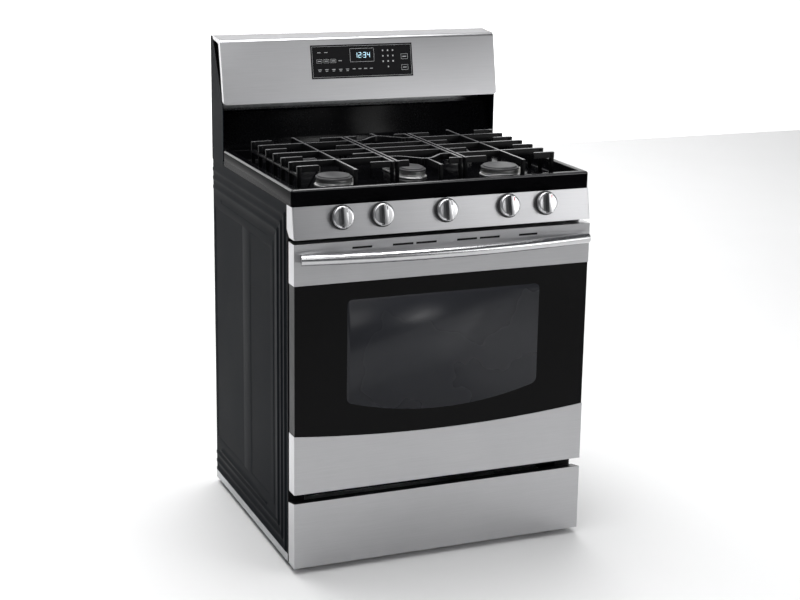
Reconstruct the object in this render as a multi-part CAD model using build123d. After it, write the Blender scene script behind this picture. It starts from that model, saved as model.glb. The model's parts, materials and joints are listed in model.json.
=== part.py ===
from build123d import *
import os
from math import atan2, cos, degrees, pi, sin

# Freestanding gas range, millimetres. The origin is on the floor below the middle of the
# overall box, the front faces -Y and Z is up.

# overall sizes
overall_width = 757
overall_depth = 724
overall_height = 1214
handle_reach = 60  # the bowed bar's furthest point in front of the door face

# heights of the front, from the floor up
foot_height = 12
drawer_bottom = 16
drawer_height = 165
door_gap = 22  # room for the door's lower edge to swing over the drawer
door_height = 605.5
panel_gap = 10
knob_panel_height = 74
cooktop_height = 40
grate_height = 34.5  # grate tops above the cooktop rim

# depths behind the door face
door_thickness = 38
seal_gap = 13.8  # door to front frame, filled by the gasket
panel_lean = 15  # the knob panel's top edge lies this far behind its bottom edge
cooktop_back = 562

# sheet and other stock
sheet = 1.2
thin_sheet = 1.0
glass = 4
touch = 0.3  # soft pieces stay this far from what they press on
running = 0.05  # radial clearance of shafts that turn or slide

half_width = overall_width / 2
door_face = -overall_depth / 2 + handle_reach
back_plane = overall_depth / 2
drawer_top = drawer_bottom + drawer_height
door_bottom = drawer_top + door_gap
door_top = door_bottom + door_height
panel_bottom = door_top + panel_gap
body_top = panel_bottom + knob_panel_height
cooktop_rim = body_top + cooktop_height
grate_top = cooktop_rim + grate_height
frame_face = door_face + door_thickness + seal_gap
shell_front = frame_face + sheet
inner_half = half_width - sheet  # inside faces of the side panels
door_back = door_face + door_thickness

# oven cavity
cavity_width = 610
cavity_depth = 476
cavity_floor = 262
cavity_height = 438
burner_box_drop = 50  # the space under the oven floor, for the bake burner
insulation = 27
rack_pitch = 66
rack_levels = 5
rib_depth = 9
cavity_half = cavity_width / 2
cavity_top = cavity_floor + cavity_height
cavity_back = shell_front + cavity_depth
liner_bottom = cavity_floor - burner_box_drop

# door hinge: the pivot lies inside the door, low down, so that the door swings clear of the frame
pivot_depth = 20
pivot_rise = 22
hinge_x = half_width - 33.5
pin_radius = 4
arm_thickness = 4
pivot_y = door_face + pivot_depth
pivot_z = door_bottom + pivot_rise

# knobs and burners
knob_positions = (-260, -161, 0, 161, 260)
knob_rise = 46  # knob centres above the panel's lower edge, along the slope
knob_diameter = 52
bezel_lip = 3  # the bezel round a knob
stem_radius = 4
front_burner_x = 218
rear_burner_x = 205
front_burner_y = door_face + 180
rear_burner_y = door_face + 412
centre_burner_y = door_face + 270
burner_sizes = {  # name: x, y, cap diameter
    "left_front": (-front_burner_x, front_burner_y, 88),
    "left_rear": (-rear_burner_x, rear_burner_y, 50),
    "right_front": (front_burner_x, front_burner_y, 94),
    "right_rear": (rear_burner_x, rear_burner_y, 66),
}
oval_width = 66
oval_length = 170
pan_depth = 27.5  # the recessed surface below the cooktop rim
pan_floor = cooktop_rim - pan_depth
head_height = 16
cap_height = 9

# grates
grate_bar = 9
bar_height = 15
bar_pitch = 59
grate_first_bar = door_face + 116
grate_bars = 7
side_rail_x = 214
side_grate_edge = 332
seam_x = 88
seam_gap = 4
grate_front = door_face + 39
grate_back = door_face + 500

# backguard
riser_top = 1027
guard_bottom = 1048
guard_face = door_face + 548
guard_lean = 32
guard_bend_z = overall_height - 6
cap_thickness = 2.5
control_width = 282
control_height = 87
control_bottom = 1103


def block(xs, ys, zs):
    """A box between the low and high X, Y and Z given as pairs."""
    middle = [(low + high) / 2 for low, high in (xs, ys, zs)]
    return Pos(*middle) * Box(xs[1] - xs[0], ys[1] - ys[0], zs[1] - zs[0])


def along_x(outline, x_low, x_high):
    """A solid from an outline of (y, z) points, drawn out from x_low to x_high."""
    face = make_face(Polyline(*[(x_low, y, z) for y, z in outline], close=True))
    return extrude(face, amount=x_high - x_low, dir=(1, 0, 0))


def rod(start, end, radius):
    """A round bar between two points."""
    run = Vector(*end) - Vector(*start)
    return Plane(origin=start, z_dir=run) * Pos(0, 0, run.length / 2) * Cylinder(radius, run.length)


def pipe(points, radius, bend):
    """A bent round bar along straight runs joined by arcs of one radius."""
    path = FilletPolyline(*points, radius=bend)
    return sweep(Plane(origin=path @ 0, z_dir=path % 0) * Circle(radius), path=path)


def both_sides(piece):
    """The piece and its mirror image across the middle plane."""
    return [piece, mirror(piece, about=Plane.YZ)]


def ring(half_x, z_low, z_high, wall, corner, y_low, y_high):
    """A rounded rectangular ring facing the front, from y_low back to y_high."""
    height = z_high - z_low
    section = RectangleRounded(2 * half_x, height, corner)
    section -= RectangleRounded(2 * (half_x - wall), height - 2 * wall, corner - wall)
    place = Plane(origin=(0, y_high, (z_low + z_high) / 2), x_dir=(1, 0, 0), z_dir=(0, -1, 0))
    return extrude(place * section, amount=y_high - y_low)


def save(name, *pieces):
    """Write the solids of one sub-part to its own file."""
    solids = [solid for piece in pieces for solid in piece.solids()]
    export_step(Compound(children=solids), f"parts/{name}.step")


os.makedirs("parts", exist_ok=True)

# ---------- body shell ----------

side_tab = 10.5  # the side panels rise behind the cooktop to meet the backguard
front_flange = 25
lower_flange = 30
tab_front = door_face + cooktop_back + touch


def side_panel():
    """The right-hand side sheet with its folded edges."""
    outline = [
        (shell_front, foot_height), (back_plane, foot_height), (back_plane, body_top + side_tab),
        (tab_front, body_top + side_tab), (tab_front, body_top), (shell_front, body_top),
    ]
    skin = along_x(outline, inner_half, half_width)
    front = block((inner_half - front_flange, inner_half), (shell_front, shell_front + sheet),
                  (foot_height, body_top))
    rear = block((inner_half - lower_flange, inner_half), (back_plane - sheet, back_plane),
                 (foot_height, body_top + side_tab))
    lower = block((inner_half - lower_flange, inner_half), (shell_front, back_plane),
                  (foot_height, foot_height + sheet))
    return skin + front + rear + lower


for side_name, panel in zip(("right", "left"), both_sides(side_panel())):
    save(f"side_panel_{side_name}", panel)

# base frame: a channel ring standing on the lower flanges of the side panels
base_bottom = foot_height + sheet
base_height = 20
base_top = base_bottom + base_height
base_half = inner_half - 0.3
base_front = shell_front + sheet
base_back = back_plane - 3 * sheet
base_rail = 57
base_cross = 34
rail_inner = base_half - base_rail
foot_x = inner_half - 40
foot_ys = (base_front + 30, base_back - 17)
stud_radius = 5


def base_frame():
    outer = block((-base_half, base_half), (base_front, base_back), (base_bottom, base_top))
    window_y = (base_front + base_cross, base_back - base_cross)
    window = block((-rail_inner, rail_inner), window_y, (base_bottom, base_top))
    hollow = block((-base_half + sheet, base_half - sheet), (base_front + sheet, base_back - sheet),
                   (base_bottom + sheet, base_top - sheet))
    core = block((-rail_inner - sheet, rail_inner + sheet), (window_y[0] - sheet, window_y[1] + sheet),
                 (base_bottom, base_top))
    frame = outer - window - (hollow - core)
    for x in (-foot_x, foot_x):
        for y in foot_ys:
            frame -= Pos(x, y, base_bottom) * Cylinder(stud_radius + touch, 2 * base_height + 5)
    return frame


def leveling_foot(x, y):
    pad = Pos(x, y, 4) * Cylinder(19, 8)
    neck = Pos(x, y, (8 + base_top + 8) / 2) * Cylinder(stud_radius, base_top)
    nut = extrude(Pos(x, y, base_top) * RegularPolygon(9, 6), amount=6)
    return pad + neck + nut


save("base_frame", base_frame())
save("leveling_feet", *[leveling_foot(x, y) for x in (-foot_x, foot_x) for y in foot_ys])

# rear cover with two rows of cooling slots
cover_y = (back_plane - 2 * sheet, back_plane - sheet)
cover_half = inner_half - 0.2
slot_width = 44
slot_pitch = 60


inlet_place = (-half_width + 70, 120)
gland_radius = 9
regulator_x = 300
regulator_y = back_plane - 62
regulator_z = 110
inlet_radius = 10.65  # half-inch pipe thread
inlet_shoulder = 26  # from the regulator's middle to where the thread starts
inlet_length = 32


def back_cover():
    cover = block((-cover_half, cover_half), cover_y, (base_bottom + 3, body_top + side_tab))
    x, z = inlet_place
    cover -= rod((x, cover_y[0] - 1, z), (x, cover_y[1] + 1, z), gland_radius + running)
    cover -= rod((regulator_x, cover_y[0] - 1, regulator_z), (regulator_x, cover_y[1] + 1, regulator_z),
                 inlet_radius + 15)
    for row in (240, 760):
        for step in range(-4, 5):
            for rise in (0, 16):
                x = step * slot_pitch
                cover -= block((x - slot_width / 2, x + slot_width / 2),
                               (cover_y[0] - 1, cover_y[1] + 1), (row + rise, row + rise + 5))
    return cover


save("back_cover", back_cover())

# front frame: one sheet with openings for the oven, the drawer and the gas valves
arm_low = pivot_z - 6
arm_high = pivot_z + 6
drawer_open_half = 336
valve_open_half = 352


def front_frame():
    depth = (frame_face, shell_front)
    cut = (frame_face - 5, shell_front + 25)
    plate = block((-inner_half + 0.2, inner_half - 0.2), depth, (foot_height + sheet, body_top - 1))
    fold = block((-valve_open_half, valve_open_half), (frame_face, shell_front + 12),
                 (body_top - 1 - sheet, body_top - 1))
    plate += fold
    plate -= block((-cavity_half, cavity_half), cut, (liner_bottom + 24, cavity_top))
    plate -= block((-drawer_open_half, drawer_open_half), cut, (base_top + 1, drawer_top - 4))
    plate -= block((-valve_open_half, valve_open_half), cut, (panel_bottom - 6, body_top - 1 - sheet))
    for sign in (-1, 1):
        x = sign * hinge_x
        plate -= block((x - arm_thickness, x + arm_thickness), cut, (arm_low - 4, arm_high + 4))
    return plate


save("front_frame", front_frame())

# ---------- oven ----------

rib_height = 8
rib_start = shell_front + 30
rib_end = cavity_back - 12
lamp_x = 75 - cavity_half
lamp_z = cavity_top - 62
lamp_hole = 29
burner_z = liner_bottom + 22
bake_radius = 13
broil_z = cavity_top - 24
broil_radius = 10
rack_edge = 3.5
rack_wire = 2.5
rack_wires = 20
rack_travel = 50  # room in front of the racks while the door is closed
duct_half = 60
duct_z = (cavity_top - 40, cavity_top - 12)


def rack_level(level):
    """Height on which a rack rests at the given level, counted from below."""
    return cavity_floor + 46 + level * rack_pitch


def cavity_outline(grow):
    """The liner's block, opened out by grow on every side except the front."""
    return block((-cavity_half - grow, cavity_half + grow), (shell_front, cavity_back + grow),
                 (liner_bottom - grow, cavity_top + grow))


def rear_holes(extra):
    """Passages through the rear wall for the burners, the lamp and the flue."""
    depth = (cavity_back - 5, cavity_back + insulation + 40)
    holes = block((-duct_half - extra, duct_half + extra), depth, (duct_z[0] - extra, duct_z[1] + extra))
    holes += rod((0, depth[0], burner_z), (0, depth[1], burner_z), bake_radius + extra)
    holes += rod((150, depth[0], broil_z), (150, depth[1], broil_z), broil_radius + extra)
    holes += rod((lamp_x, depth[0], lamp_z), (lamp_x, depth[1], lamp_z), lamp_hole + extra)
    return holes


def oven_liner():
    liner = cavity_outline(thin_sheet) - cavity_outline(0)
    rim = (-cavity_half - 20, cavity_half + 20)
    flange = block(rim, (shell_front, shell_front + thin_sheet), (liner_bottom - 12, cavity_top + 15))
    flange -= block((-cavity_half, cavity_half), (shell_front - 1, shell_front + 5), (liner_bottom, cavity_top))
    liner += flange
    for sign in (-1, 1):
        wall = sign * cavity_half
        inner = wall - sign * rib_depth
        span = (min(wall, inner), max(wall, inner))
        for level in range(rack_levels):
            top = rack_level(level)
            liner += block(span, (rib_start, rib_end), (top - rib_height, top))
        liner += block(span, (shell_front + 8, cavity_back), (cavity_floor - thin_sheet, cavity_floor))
    return liner - rear_holes(touch)


save("oven_liner", oven_liner())


def oven_floor_pan():
    half = cavity_half - 1.5
    depth = (shell_front + 9, cavity_back - 2)
    pan = block((-half, half), depth, (cavity_floor, cavity_floor + sheet))
    pan += block((-half, half), (depth[0], depth[0] + sheet), (cavity_floor, cavity_floor + 10))
    for sign in (-1, 1):
        for row in range(7):
            y = depth[0] + 50 + row * 62
            x = sign * (half - 34)
            pan -= block((x - 5, x + 5), (y, y + 40), (cavity_floor - 1, cavity_floor + 3))
    return pan


save("oven_floor_pan", oven_floor_pan())

gasket_width = 11
gasket_drop = 17  # its lower edge below the cavity floor, clear of the open door's lower corner
gasket_half = cavity_half + 16


def oven_gasket():
    return ring(gasket_half, cavity_floor - gasket_drop, cavity_top + 12, gasket_width, 30,
                door_back + touch, frame_face)


save("oven_gasket", oven_gasket())


def insulation_wrap():
    """Blanket round the liner, open at the front."""
    gap = 0.5
    front = shell_front + 4 * sheet
    outer = block((-cavity_half - insulation, cavity_half + insulation),
                  (front, cavity_back + insulation),
                  (liner_bottom - insulation + 3, cavity_top + insulation + 8))
    return outer - cavity_outline(thin_sheet + gap) - rear_holes(touch + 1)


save("insulation_wrap", insulation_wrap())


def bake_burner():
    front = shell_front + 42
    tube = rod((0, front, burner_z), (0, cavity_back + insulation + 20, burner_z), bake_radius)
    tube -= rod((0, front + 6, burner_z), (0, cavity_back + insulation + 25, burner_z), bake_radius - 1.2)
    spreader_z = burner_z + bake_radius
    spreader = along_x([(front, spreader_z - 1), (cavity_back - 30, spreader_z - 1),
                        (cavity_back - 30, spreader_z + 1), (front, spreader_z + 1)], -65, 65)
    tube += spreader
    for row in range(12):
        y = front + 30 + row * 30
        tube -= rod((-20, y, burner_z), (20, y, burner_z), 1.4)
    bracket = block((-20, 20), (front + 8, front + 20), (liner_bottom, burner_z))
    return tube + (bracket - rod((0, front, burner_z), (0, front + 60, burner_z), bake_radius - 1))


save("bake_burner", bake_burner())


def broil_burner():
    front = shell_front + 90
    back = cavity_back - 150
    tray = block((-150, 200), (front, back), (broil_z - 10, broil_z + 10))
    tray -= block((-146, 196), (front + 4, back - 4), (broil_z - 8, broil_z + 8))
    for row in range(8):
        for column in range(11):
            x = -130 + column * 31
            y = front + 20 + row * 28
            tray -= Pos(x, y, broil_z - 9) * Cylinder(4, 6)
    feed = rod((150, back - 2, broil_z), (150, cavity_back + insulation + 20, broil_z), broil_radius - 1)
    hangers = [block((x - 8, x + 8), (y - 1, y + 1), (broil_z + 10, cavity_top))
               for x in (-120, 170) for y in (front + 30, back - 30)]
    return tray + feed + hangers


save("broil_burner", broil_burner())


def lamp_rod(front, back, radius):
    """A round piece on the lamp's axis, between two depths behind the cavity's rear wall."""
    return rod((lamp_x, cavity_back + front, lamp_z), (lamp_x, cavity_back + back, lamp_z), radius)


lens_depth = 26
lens_wall = 3


def oven_lamp():
    """Bulb and socket on a plate that lies against the back of the rear wall."""
    bulb = Pos(lamp_x, cavity_back - 4, lamp_z) * Sphere(13)
    plate = lamp_rod(thin_sheet, 2 * thin_sheet, lamp_hole + 1)
    return bulb + lamp_rod(-2, 14, 9) + plate + lamp_rod(8, insulation + 15, 17)


def lamp_lens():
    """Glass dome through the rear wall, with a rim in front of it."""
    dome = lamp_rod(-lens_depth, thin_sheet, lamp_hole - 1)
    dome = fillet(dome.faces().sort_by(Axis.Y)[0].edges(), 8)
    dome += lamp_rod(-lens_wall, 0, lamp_hole + 4)
    return dome - lamp_rod(lens_wall - lens_depth, 2 * thin_sheet, lamp_hole - 1 - lens_wall)


save("oven_lamp", oven_lamp())
save("lamp_lens", lamp_lens())


def flue_duct():
    """Elbow from the top of the oven's rear wall up into the riser."""
    rise_back = back_plane - 42
    outer = block((-duct_half, duct_half), (cavity_back - 1, rise_back), duct_z)
    outer += block((-duct_half, duct_half), (rise_back - 28, rise_back), (duct_z[0], riser_top - 10))
    wall = thin_sheet
    inner = block((-duct_half + wall, duct_half - wall), (cavity_back - 5, rise_back - wall),
                  (duct_z[0] + wall, duct_z[1] - wall))
    inner += block((-duct_half + wall, duct_half - wall), (rise_back - 28 + wall, rise_back - wall),
                   (duct_z[0] + wall, riser_top))
    return outer - inner


save("flue_duct", flue_duct())


def wire_rack(level):
    """Plated wire rack: a frame, cross bars and front-to-back wires, resting on the ribs."""
    half = cavity_half - 3
    front = rib_start - 20 + rack_travel
    back = rib_end - 4
    frame_z = rack_level(level) + rack_edge
    side_x = half - rack_edge
    rack = rod((-half, front, frame_z), (half, front, frame_z), rack_edge)
    rack += rod((-half, back, frame_z), (half, back, frame_z), rack_edge)
    for x in (-side_x, side_x):
        rack += rod((x, front, frame_z), (x, back, frame_z), rack_edge - 0.3)
    for y in (front + 130, back - 130):
        rack += rod((-side_x, y, frame_z), (side_x, y, frame_z), rack_edge - 0.6)
    for step in range(1, rack_wires):
        x = -side_x + step * 2 * side_x / rack_wires
        rack += rod((x, front, frame_z), (x, back, frame_z), rack_wire)
    return rack


save("oven_rack_lower", wire_rack(1))
save("oven_rack_upper", wire_rack(3))

# ---------- door ----------

lower_trim_corner = 145.5  # height of the lower trim at its ends
lower_trim_sag = 20  # the trim's upper edge dips by this much in the middle
upper_trim_height = 97.5
trim = thin_sheet
slot_half = arm_thickness / 2 + 2
channel_half = 11
channel_height = 190
window_half = 235
window_low = 405
window_high = 655
door_half = half_width
trim_back = door_face + trim


def hinge_slots():
    """The openings through which the fixed arms pass as the door turns."""
    cuts = []
    for sign in (-1, 1):
        x = sign * hinge_x
        cuts.append(block((x - slot_half, x + slot_half), (door_face + 8, door_back + 5),
                          (door_bottom - 5, arm_high + 9)))
    return cuts


def door_bottom_trim():
    corner = door_bottom + lower_trim_corner
    face = make_face([
        Line((-door_half, door_face, corner), (-door_half, door_face, door_bottom)),
        Line((-door_half, door_face, door_bottom), (door_half, door_face, door_bottom)),
        Line((door_half, door_face, door_bottom), (door_half, door_face, corner)),
        ThreePointArc((door_half, door_face, corner), (0, door_face, corner - lower_trim_sag),
                      (-door_half, door_face, corner)),
    ])
    piece = extrude(face, amount=trim, dir=(0, 1, 0))
    for sign in (-1, 1):
        xs = sorted((sign * door_half, sign * (door_half - trim)))
        piece += block(xs, (door_face, door_back), (door_bottom, corner))
    piece += block((-door_half, door_half), (door_face, door_face + 7), (door_bottom, door_bottom + trim))
    return piece


def door_top_trim():
    low = door_top - upper_trim_height
    piece = block((-door_half, door_half), (door_face, door_back), (low, door_top))
    piece -= block((-door_half + trim, door_half - trim), (trim_back, door_back + 1), (low - 1, door_top - trim))
    for low_x, high_x in ((26, 78), (85, 137), (188, 237)):
        for sign in (-1, 1):
            xs = sorted((sign * low_x, sign * high_x))
            piece -= block(xs, (door_face - 1, trim_back + 1), (door_top - 19, door_top - 14))
    return piece


def door_glass():
    half = door_half - trim - 0.3
    return block((-half, half), (trim_back, trim_back + glass),
                 (door_bottom + lower_trim_corner - 32, door_top - upper_trim_height + 8))


frame_front = trim_back + glass
frame_half = door_half - trim - 0.3


def door_frame():
    low, high = door_bottom + trim, door_top - trim - 0.3
    tray = block((-frame_half, frame_half), (frame_front, door_back), (low, high))
    tray -= block((-frame_half + trim, frame_half - trim), (frame_front - 1, door_back - trim),
                  (low + trim, high - trim))
    tray -= block((-window_half, window_half), (door_back - 5, door_back + 5), (window_low, window_high))
    return tray - hinge_slots()


def window_glass():
    return block((-window_half - 18, window_half + 18), (door_back - trim - glass, door_back - trim),
                 (window_low - 16, window_high + 16))


def door_insulation():
    gap = 0.5
    wrap = block((-frame_half + 6, frame_half - 6), (frame_front + 6, door_back - trim - gap),
                 (door_bottom + 8, door_top - 8))
    wrap -= block((-window_half - 24, window_half + 24), (door_face, door_back),
                  (window_low - 22, window_high + 22))
    for sign in (-1, 1):
        x = sign * hinge_x
        wrap -= block((x - channel_half - 2, x + channel_half + 2), (door_face, door_back),
                      (door_bottom, door_bottom + channel_height + 12))
    return wrap


def hinge_channel(x):
    """A folded channel in the door that carries the pivot pin."""
    front, back = door_face + 9, door_back - trim
    low = pivot_z - 13
    high = door_bottom + channel_height
    piece = block((x - channel_half, x + channel_half), (front, back), (low, high))
    piece -= block((x - channel_half + sheet, x + channel_half - sheet), (front - 1, back - sheet),
                   (low - 1, high + 1))
    piece -= block((x - slot_half, x + slot_half), (front, back + 1), (low - 1, arm_high + 9))
    pin = rod((x - channel_half, pivot_y, pivot_z), (x + channel_half, pivot_y, pivot_z), pin_radius)
    return piece + pin


def hinge_arm(x):
    """The fixed arm: round the pin at its front, hooked into the body at its back."""
    xs = (x - arm_thickness / 2, x + arm_thickness / 2)
    arm = rod((xs[0], pivot_y, pivot_z), (xs[1], pivot_y, pivot_z), 8)
    arm += block(xs, (pivot_y, shell_front + 60), (arm_low, arm_high))
    arm -= rod((xs[0] - 1, pivot_y, pivot_z), (xs[1] + 1, pivot_y, pivot_z), pin_radius + running)
    seat_front = shell_front + sheet
    seat = block((x - 8, x + 12), (seat_front, shell_front + 70), (arm_low - 8, arm_high + 8))
    seat -= block((x - 6, x + 10), (seat_front + sheet, shell_front + 75), (arm_low - 6, arm_high + 6))
    seat += block(xs, (shell_front + 50, shell_front + 60), (arm_low - 8, arm_high + 8))
    seat += block((x - 8, x - arm_thickness / 2), (shell_front + 50, shell_front + 60), (arm_low, arm_high))
    return seat + arm


bar_radius = 12.75
bar_half = 366
bar_end_gap = 1.5
post_x = 352
post_radius = 8


def door_handle():
    """A round bar bowed outwards in plan, on a short post near each end."""
    z = door_top - 33.5
    end_y = door_face - bar_radius - bar_end_gap
    middle_y = door_face - handle_reach + bar_radius
    path = ThreePointArc((-bar_half, end_y, z), (0, middle_y, z), (bar_half, end_y, z))
    bar = sweep(Plane(origin=path @ 0, z_dir=path % 0) * Circle(bar_radius), path=path)
    for x in (-post_x, post_x):
        bar += rod((x, door_face - bar_radius, z), (x, door_face, z), post_radius)
    return bar


save("door_glass", door_glass())
save("door_bottom_trim", door_bottom_trim())
save("door_top_trim", door_top_trim())
save("door_frame", door_frame())
save("window_glass", window_glass())
save("door_insulation", door_insulation())
save("door_handle", door_handle())
save("hinge_channels", *[hinge_channel(sign * hinge_x) for sign in (-1, 1)])
save("hinge_arms", *both_sides(hinge_arm(hinge_x)))

# ---------- drawer ----------

drawer_return = 42
drawer_side_gap = 60.5  # room for the rails beside the drawer
drawer_box_half = half_width - drawer_side_gap
drawer_box_back = back_plane - 92
drawer_wall = 112
rail_height = 24


def drawer_front():
    """Front pan with deep side returns and a top that slopes down to the back."""
    low, top = drawer_bottom, drawer_top
    slope = 9
    side = [(door_face, low), (door_face + drawer_return, low), (door_face + drawer_return, top - slope),
            (door_face, top)]
    inside = [(trim_back, low + trim), (door_face + drawer_return + 1, low + trim),
              (door_face + drawer_return + 1, top - slope - trim), (trim_back, top - 1.3 * trim)]
    return along_x(side, -half_width, half_width) - along_x(inside, -half_width + trim, half_width - trim)


drawer_floor = base_top + sheet + 0.2


def drawer_box():
    front = door_face + drawer_return
    walls = block((-drawer_box_half, drawer_box_half), (front, drawer_box_back),
                  (drawer_floor + 5, drawer_floor + drawer_wall))
    walls -= block((-drawer_box_half + trim, drawer_box_half - trim), (front + trim, drawer_box_back - trim),
                   (drawer_floor + 5 + trim, drawer_floor + drawer_wall + 1))
    plate = block((-half_width, half_width), (front, front + trim), (drawer_floor, drawer_top - 12))
    for sign in (-1, 1):
        xs = sorted((sign * (drawer_box_half - 14), sign * (drawer_box_half + 6)))
        walls += block(xs, (front + 14, drawer_box_back), (drawer_floor, drawer_floor + 5))
    return walls + plate


def drawer_rail():
    inner = rail_inner - 16
    xs = (inner, drawer_box_half + 9)
    shelf = block(xs, (base_front, base_back), (base_top, drawer_floor))
    guide = block((xs[1] - sheet, xs[1]), (base_front, base_back), (base_top, base_top + rail_height))
    return shelf + guide


save("drawer_front", drawer_front())
save("drawer_box", drawer_box())
save("drawer_rails", *both_sides(drawer_rail()))

# ---------- knob panel and gas train ----------

lean = atan2(panel_lean, knob_panel_height)


def panel_place(x):
    """A plane on the knob panel's face at a knob's centre, looking outwards."""
    y = door_face + knob_rise * sin(lean)
    z = panel_bottom + knob_rise * cos(lean)
    return Plane(origin=(x, y, z), x_dir=(1, 0, 0), z_dir=(0, -cos(lean), sin(lean)))


def turned(x, radius, low, high):
    """A cylinder on a knob's axis, between two heights above the panel face."""
    return panel_place(x) * Pos(0, 0, (low + high) / 2) * Cylinder(radius, high - low)


def manifold_panel():
    half = half_width - cap_thickness
    outer = [(door_face, panel_bottom), (door_face + 30, panel_bottom), (door_face + 48, body_top),
             (door_face + panel_lean, body_top)]
    panel = along_x(outer, -half, half)
    inner = [(door_face + 1.2 * sheet, panel_bottom + sheet), (door_face + 60, panel_bottom + sheet),
             (door_face + 60, body_top - sheet), (door_face + panel_lean + sheet, body_top - sheet)]
    panel -= along_x(inner, -half - 1, half + 1)
    for x in knob_positions:
        panel -= turned(x, stem_radius + 2, -20, 20)
    return panel


def panel_end_cap():
    outline = [(door_face, panel_bottom), (door_face + 36, panel_bottom), (frame_face, panel_bottom + 18),
               (frame_face, body_top), (door_face + panel_lean, body_top)]
    return along_x(outline, half_width - cap_thickness, half_width)


save("manifold_panel", manifold_panel())
save("panel_end_caps", *both_sides(panel_end_cap()))

bezel_height = 5
valve_front = -14
valve_back = -52
valve_half = 13


def knob_bezel(x):
    bezel = turned(x, knob_diameter / 2 + bezel_lip, 0, bezel_height)
    bezel -= turned(x, knob_diameter / 2 + 0.8, 0.8, bezel_height + 1)
    return bezel - turned(x, stem_radius + 2, -1, bezel_height)


def gas_valve(x):
    """Valve body with a bore for its stem and a saddle on the manifold pipe."""
    middle = (valve_front + valve_back) / 2
    body = panel_place(x) * Pos(0, 0, middle) * Box(2 * valve_half, 2 * valve_half, valve_front - valve_back)
    body += turned(x, 7, valve_front, valve_front + 9)
    body += turned(x, 6, valve_back - 8, valve_back)
    return body - turned(x, stem_radius + running, valve_back + 8, valve_front + 10)


manifold_radius = 8
manifold_drop = valve_half + manifold_radius + running
manifold_inset = (valve_front + valve_back) / 2


def manifold_point(x):
    """The manifold pipe's centre below the valve at the given place."""
    return panel_place(x).from_local_coords(Vector(0, -manifold_drop, manifold_inset))


def gas_manifold():
    """Pipe under the valves, running back along the right side and down to the regulator."""
    start, end = manifold_point(-290), manifold_point(320)
    side_x = half_width - 19
    high = panel_bottom - 18
    points = [start, end, (side_x, end.Y + 60, high), (side_x, regulator_y, high),
              (regulator_x, regulator_y, high), (regulator_x, regulator_y, regulator_z + 15)]
    return pipe([tuple(point) for point in points], manifold_radius, 22)


def gas_regulator():
    """Regulator at the lower right rear, with its threaded inlet facing back."""
    place = (regulator_x, regulator_y)
    bowl = Pos(*place, regulator_z) * Cylinder(22, 26)
    neck = Pos(*place, regulator_z + 17) * Cylinder(13, 14)
    shoulder_y = regulator_y + inlet_shoulder
    shoulder = rod((*place, regulator_z), (regulator_x, shoulder_y, regulator_z), inlet_radius + 3)
    inlet = rod((*place, regulator_z), (regulator_x, shoulder_y + inlet_length, regulator_z), inlet_radius)
    socket = Pos(*place, regulator_z + 25) * Cylinder(manifold_radius + running, 20)
    return bowl + neck + shoulder + inlet - socket


save("gas_manifold", gas_manifold())
save("gas_regulator", gas_regulator())
save("gas_valves", *[gas_valve(x) for x in knob_positions])
save("knob_bezels", *[knob_bezel(x) for x in knob_positions])

knob_base = bezel_height + 0.2
knob_face = knob_base + 11
grip_height = 15
grip_width = 13


def valve_stem(x):
    return turned(x, stem_radius, valve_back + 14, knob_face + 4)


def knob(x):
    disc = turned(x, knob_diameter / 2, knob_base, knob_face)
    disc = fillet(disc.edges().filter_by(GeomType.CIRCLE).sort_by(Axis.Y)[0], 3)
    grip = Box(grip_width, knob_diameter - 4, grip_height + 2)
    grip = fillet(grip.edges().filter_by(Axis.Z), 5)
    grip = fillet(grip.faces().sort_by(Axis.Z)[-1].edges(), 3)
    handle = panel_place(x) * Pos(0, 0, knob_face + grip_height / 2 - 1) * grip
    return disc + handle - turned(x, stem_radius + running, knob_base - 1, knob_face + 4.3)


for number, x in enumerate(knob_positions, start=1):
    save(f"knob_{number}", knob(x))
    save(f"valve_stem_{number}", valve_stem(x))

# ---------- cooktop and burners ----------

rim_front = 20
rim_side = 26
rim_back = 20
edge_round = 9
cup_depth = 22


def burner_places():
    """Every burner's name, centre and half sizes across and along."""
    places = [(name, x, y, size / 2, size / 2) for name, (x, y, size) in burner_sizes.items()]
    return places + [("centre", 0, centre_burner_y, oval_width / 2, oval_length / 2)]


def cooktop_pan():
    """Pressed pan: skirts, a raised rim and a recessed burner surface."""
    ys = (door_face + panel_lean, door_face + cooktop_back)
    outer = block((-half_width, half_width), ys, (body_top, cooktop_rim))
    outer = fillet(outer.edges().filter_by(Axis.Z), edge_round)
    outer = fillet(outer.faces().sort_by(Axis.Z)[-1].edges(), edge_round - 2)
    well_x = half_width - rim_side
    well_y = (ys[0] + rim_front, ys[1] - rim_back)
    well = block((-well_x, well_x), well_y, (pan_floor, cooktop_rim + 5))
    well = fillet(well.edges().filter_by(Axis.Z), 20)
    under = block((-half_width + sheet, half_width - sheet), (ys[0] + sheet, ys[1] - sheet),
                  (body_top - 1, cooktop_rim - sheet))
    under = fillet(under.edges().filter_by(Axis.Z), edge_round - sheet)
    under = fillet(under.faces().sort_by(Axis.Z)[-1].edges(), edge_round - 2 - sheet)
    bowl = block((-well_x - sheet, well_x + sheet), (well_y[0] - sheet, well_y[1] + sheet),
                 (pan_floor - sheet, cooktop_rim + 5))
    bowl = fillet(bowl.edges().filter_by(Axis.Z), 20 + sheet)
    pan = outer - well - (under - bowl)
    pan -= block((-half_width, half_width), (ys[0] + sheet, ys[1] + 1), (body_top - 1, pan_floor - sheet)) & under
    for name, x, y, across, along in burner_places():
        pan -= Pos(x, y, pan_floor) * Cylinder(neck_radius + touch, 10)
        pan -= Pos(x + across + igniter_gap, y, pan_floor) * Cylinder(3 + touch, 10)
    return pan


neck_radius = 15
igniter_gap = 7


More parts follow.
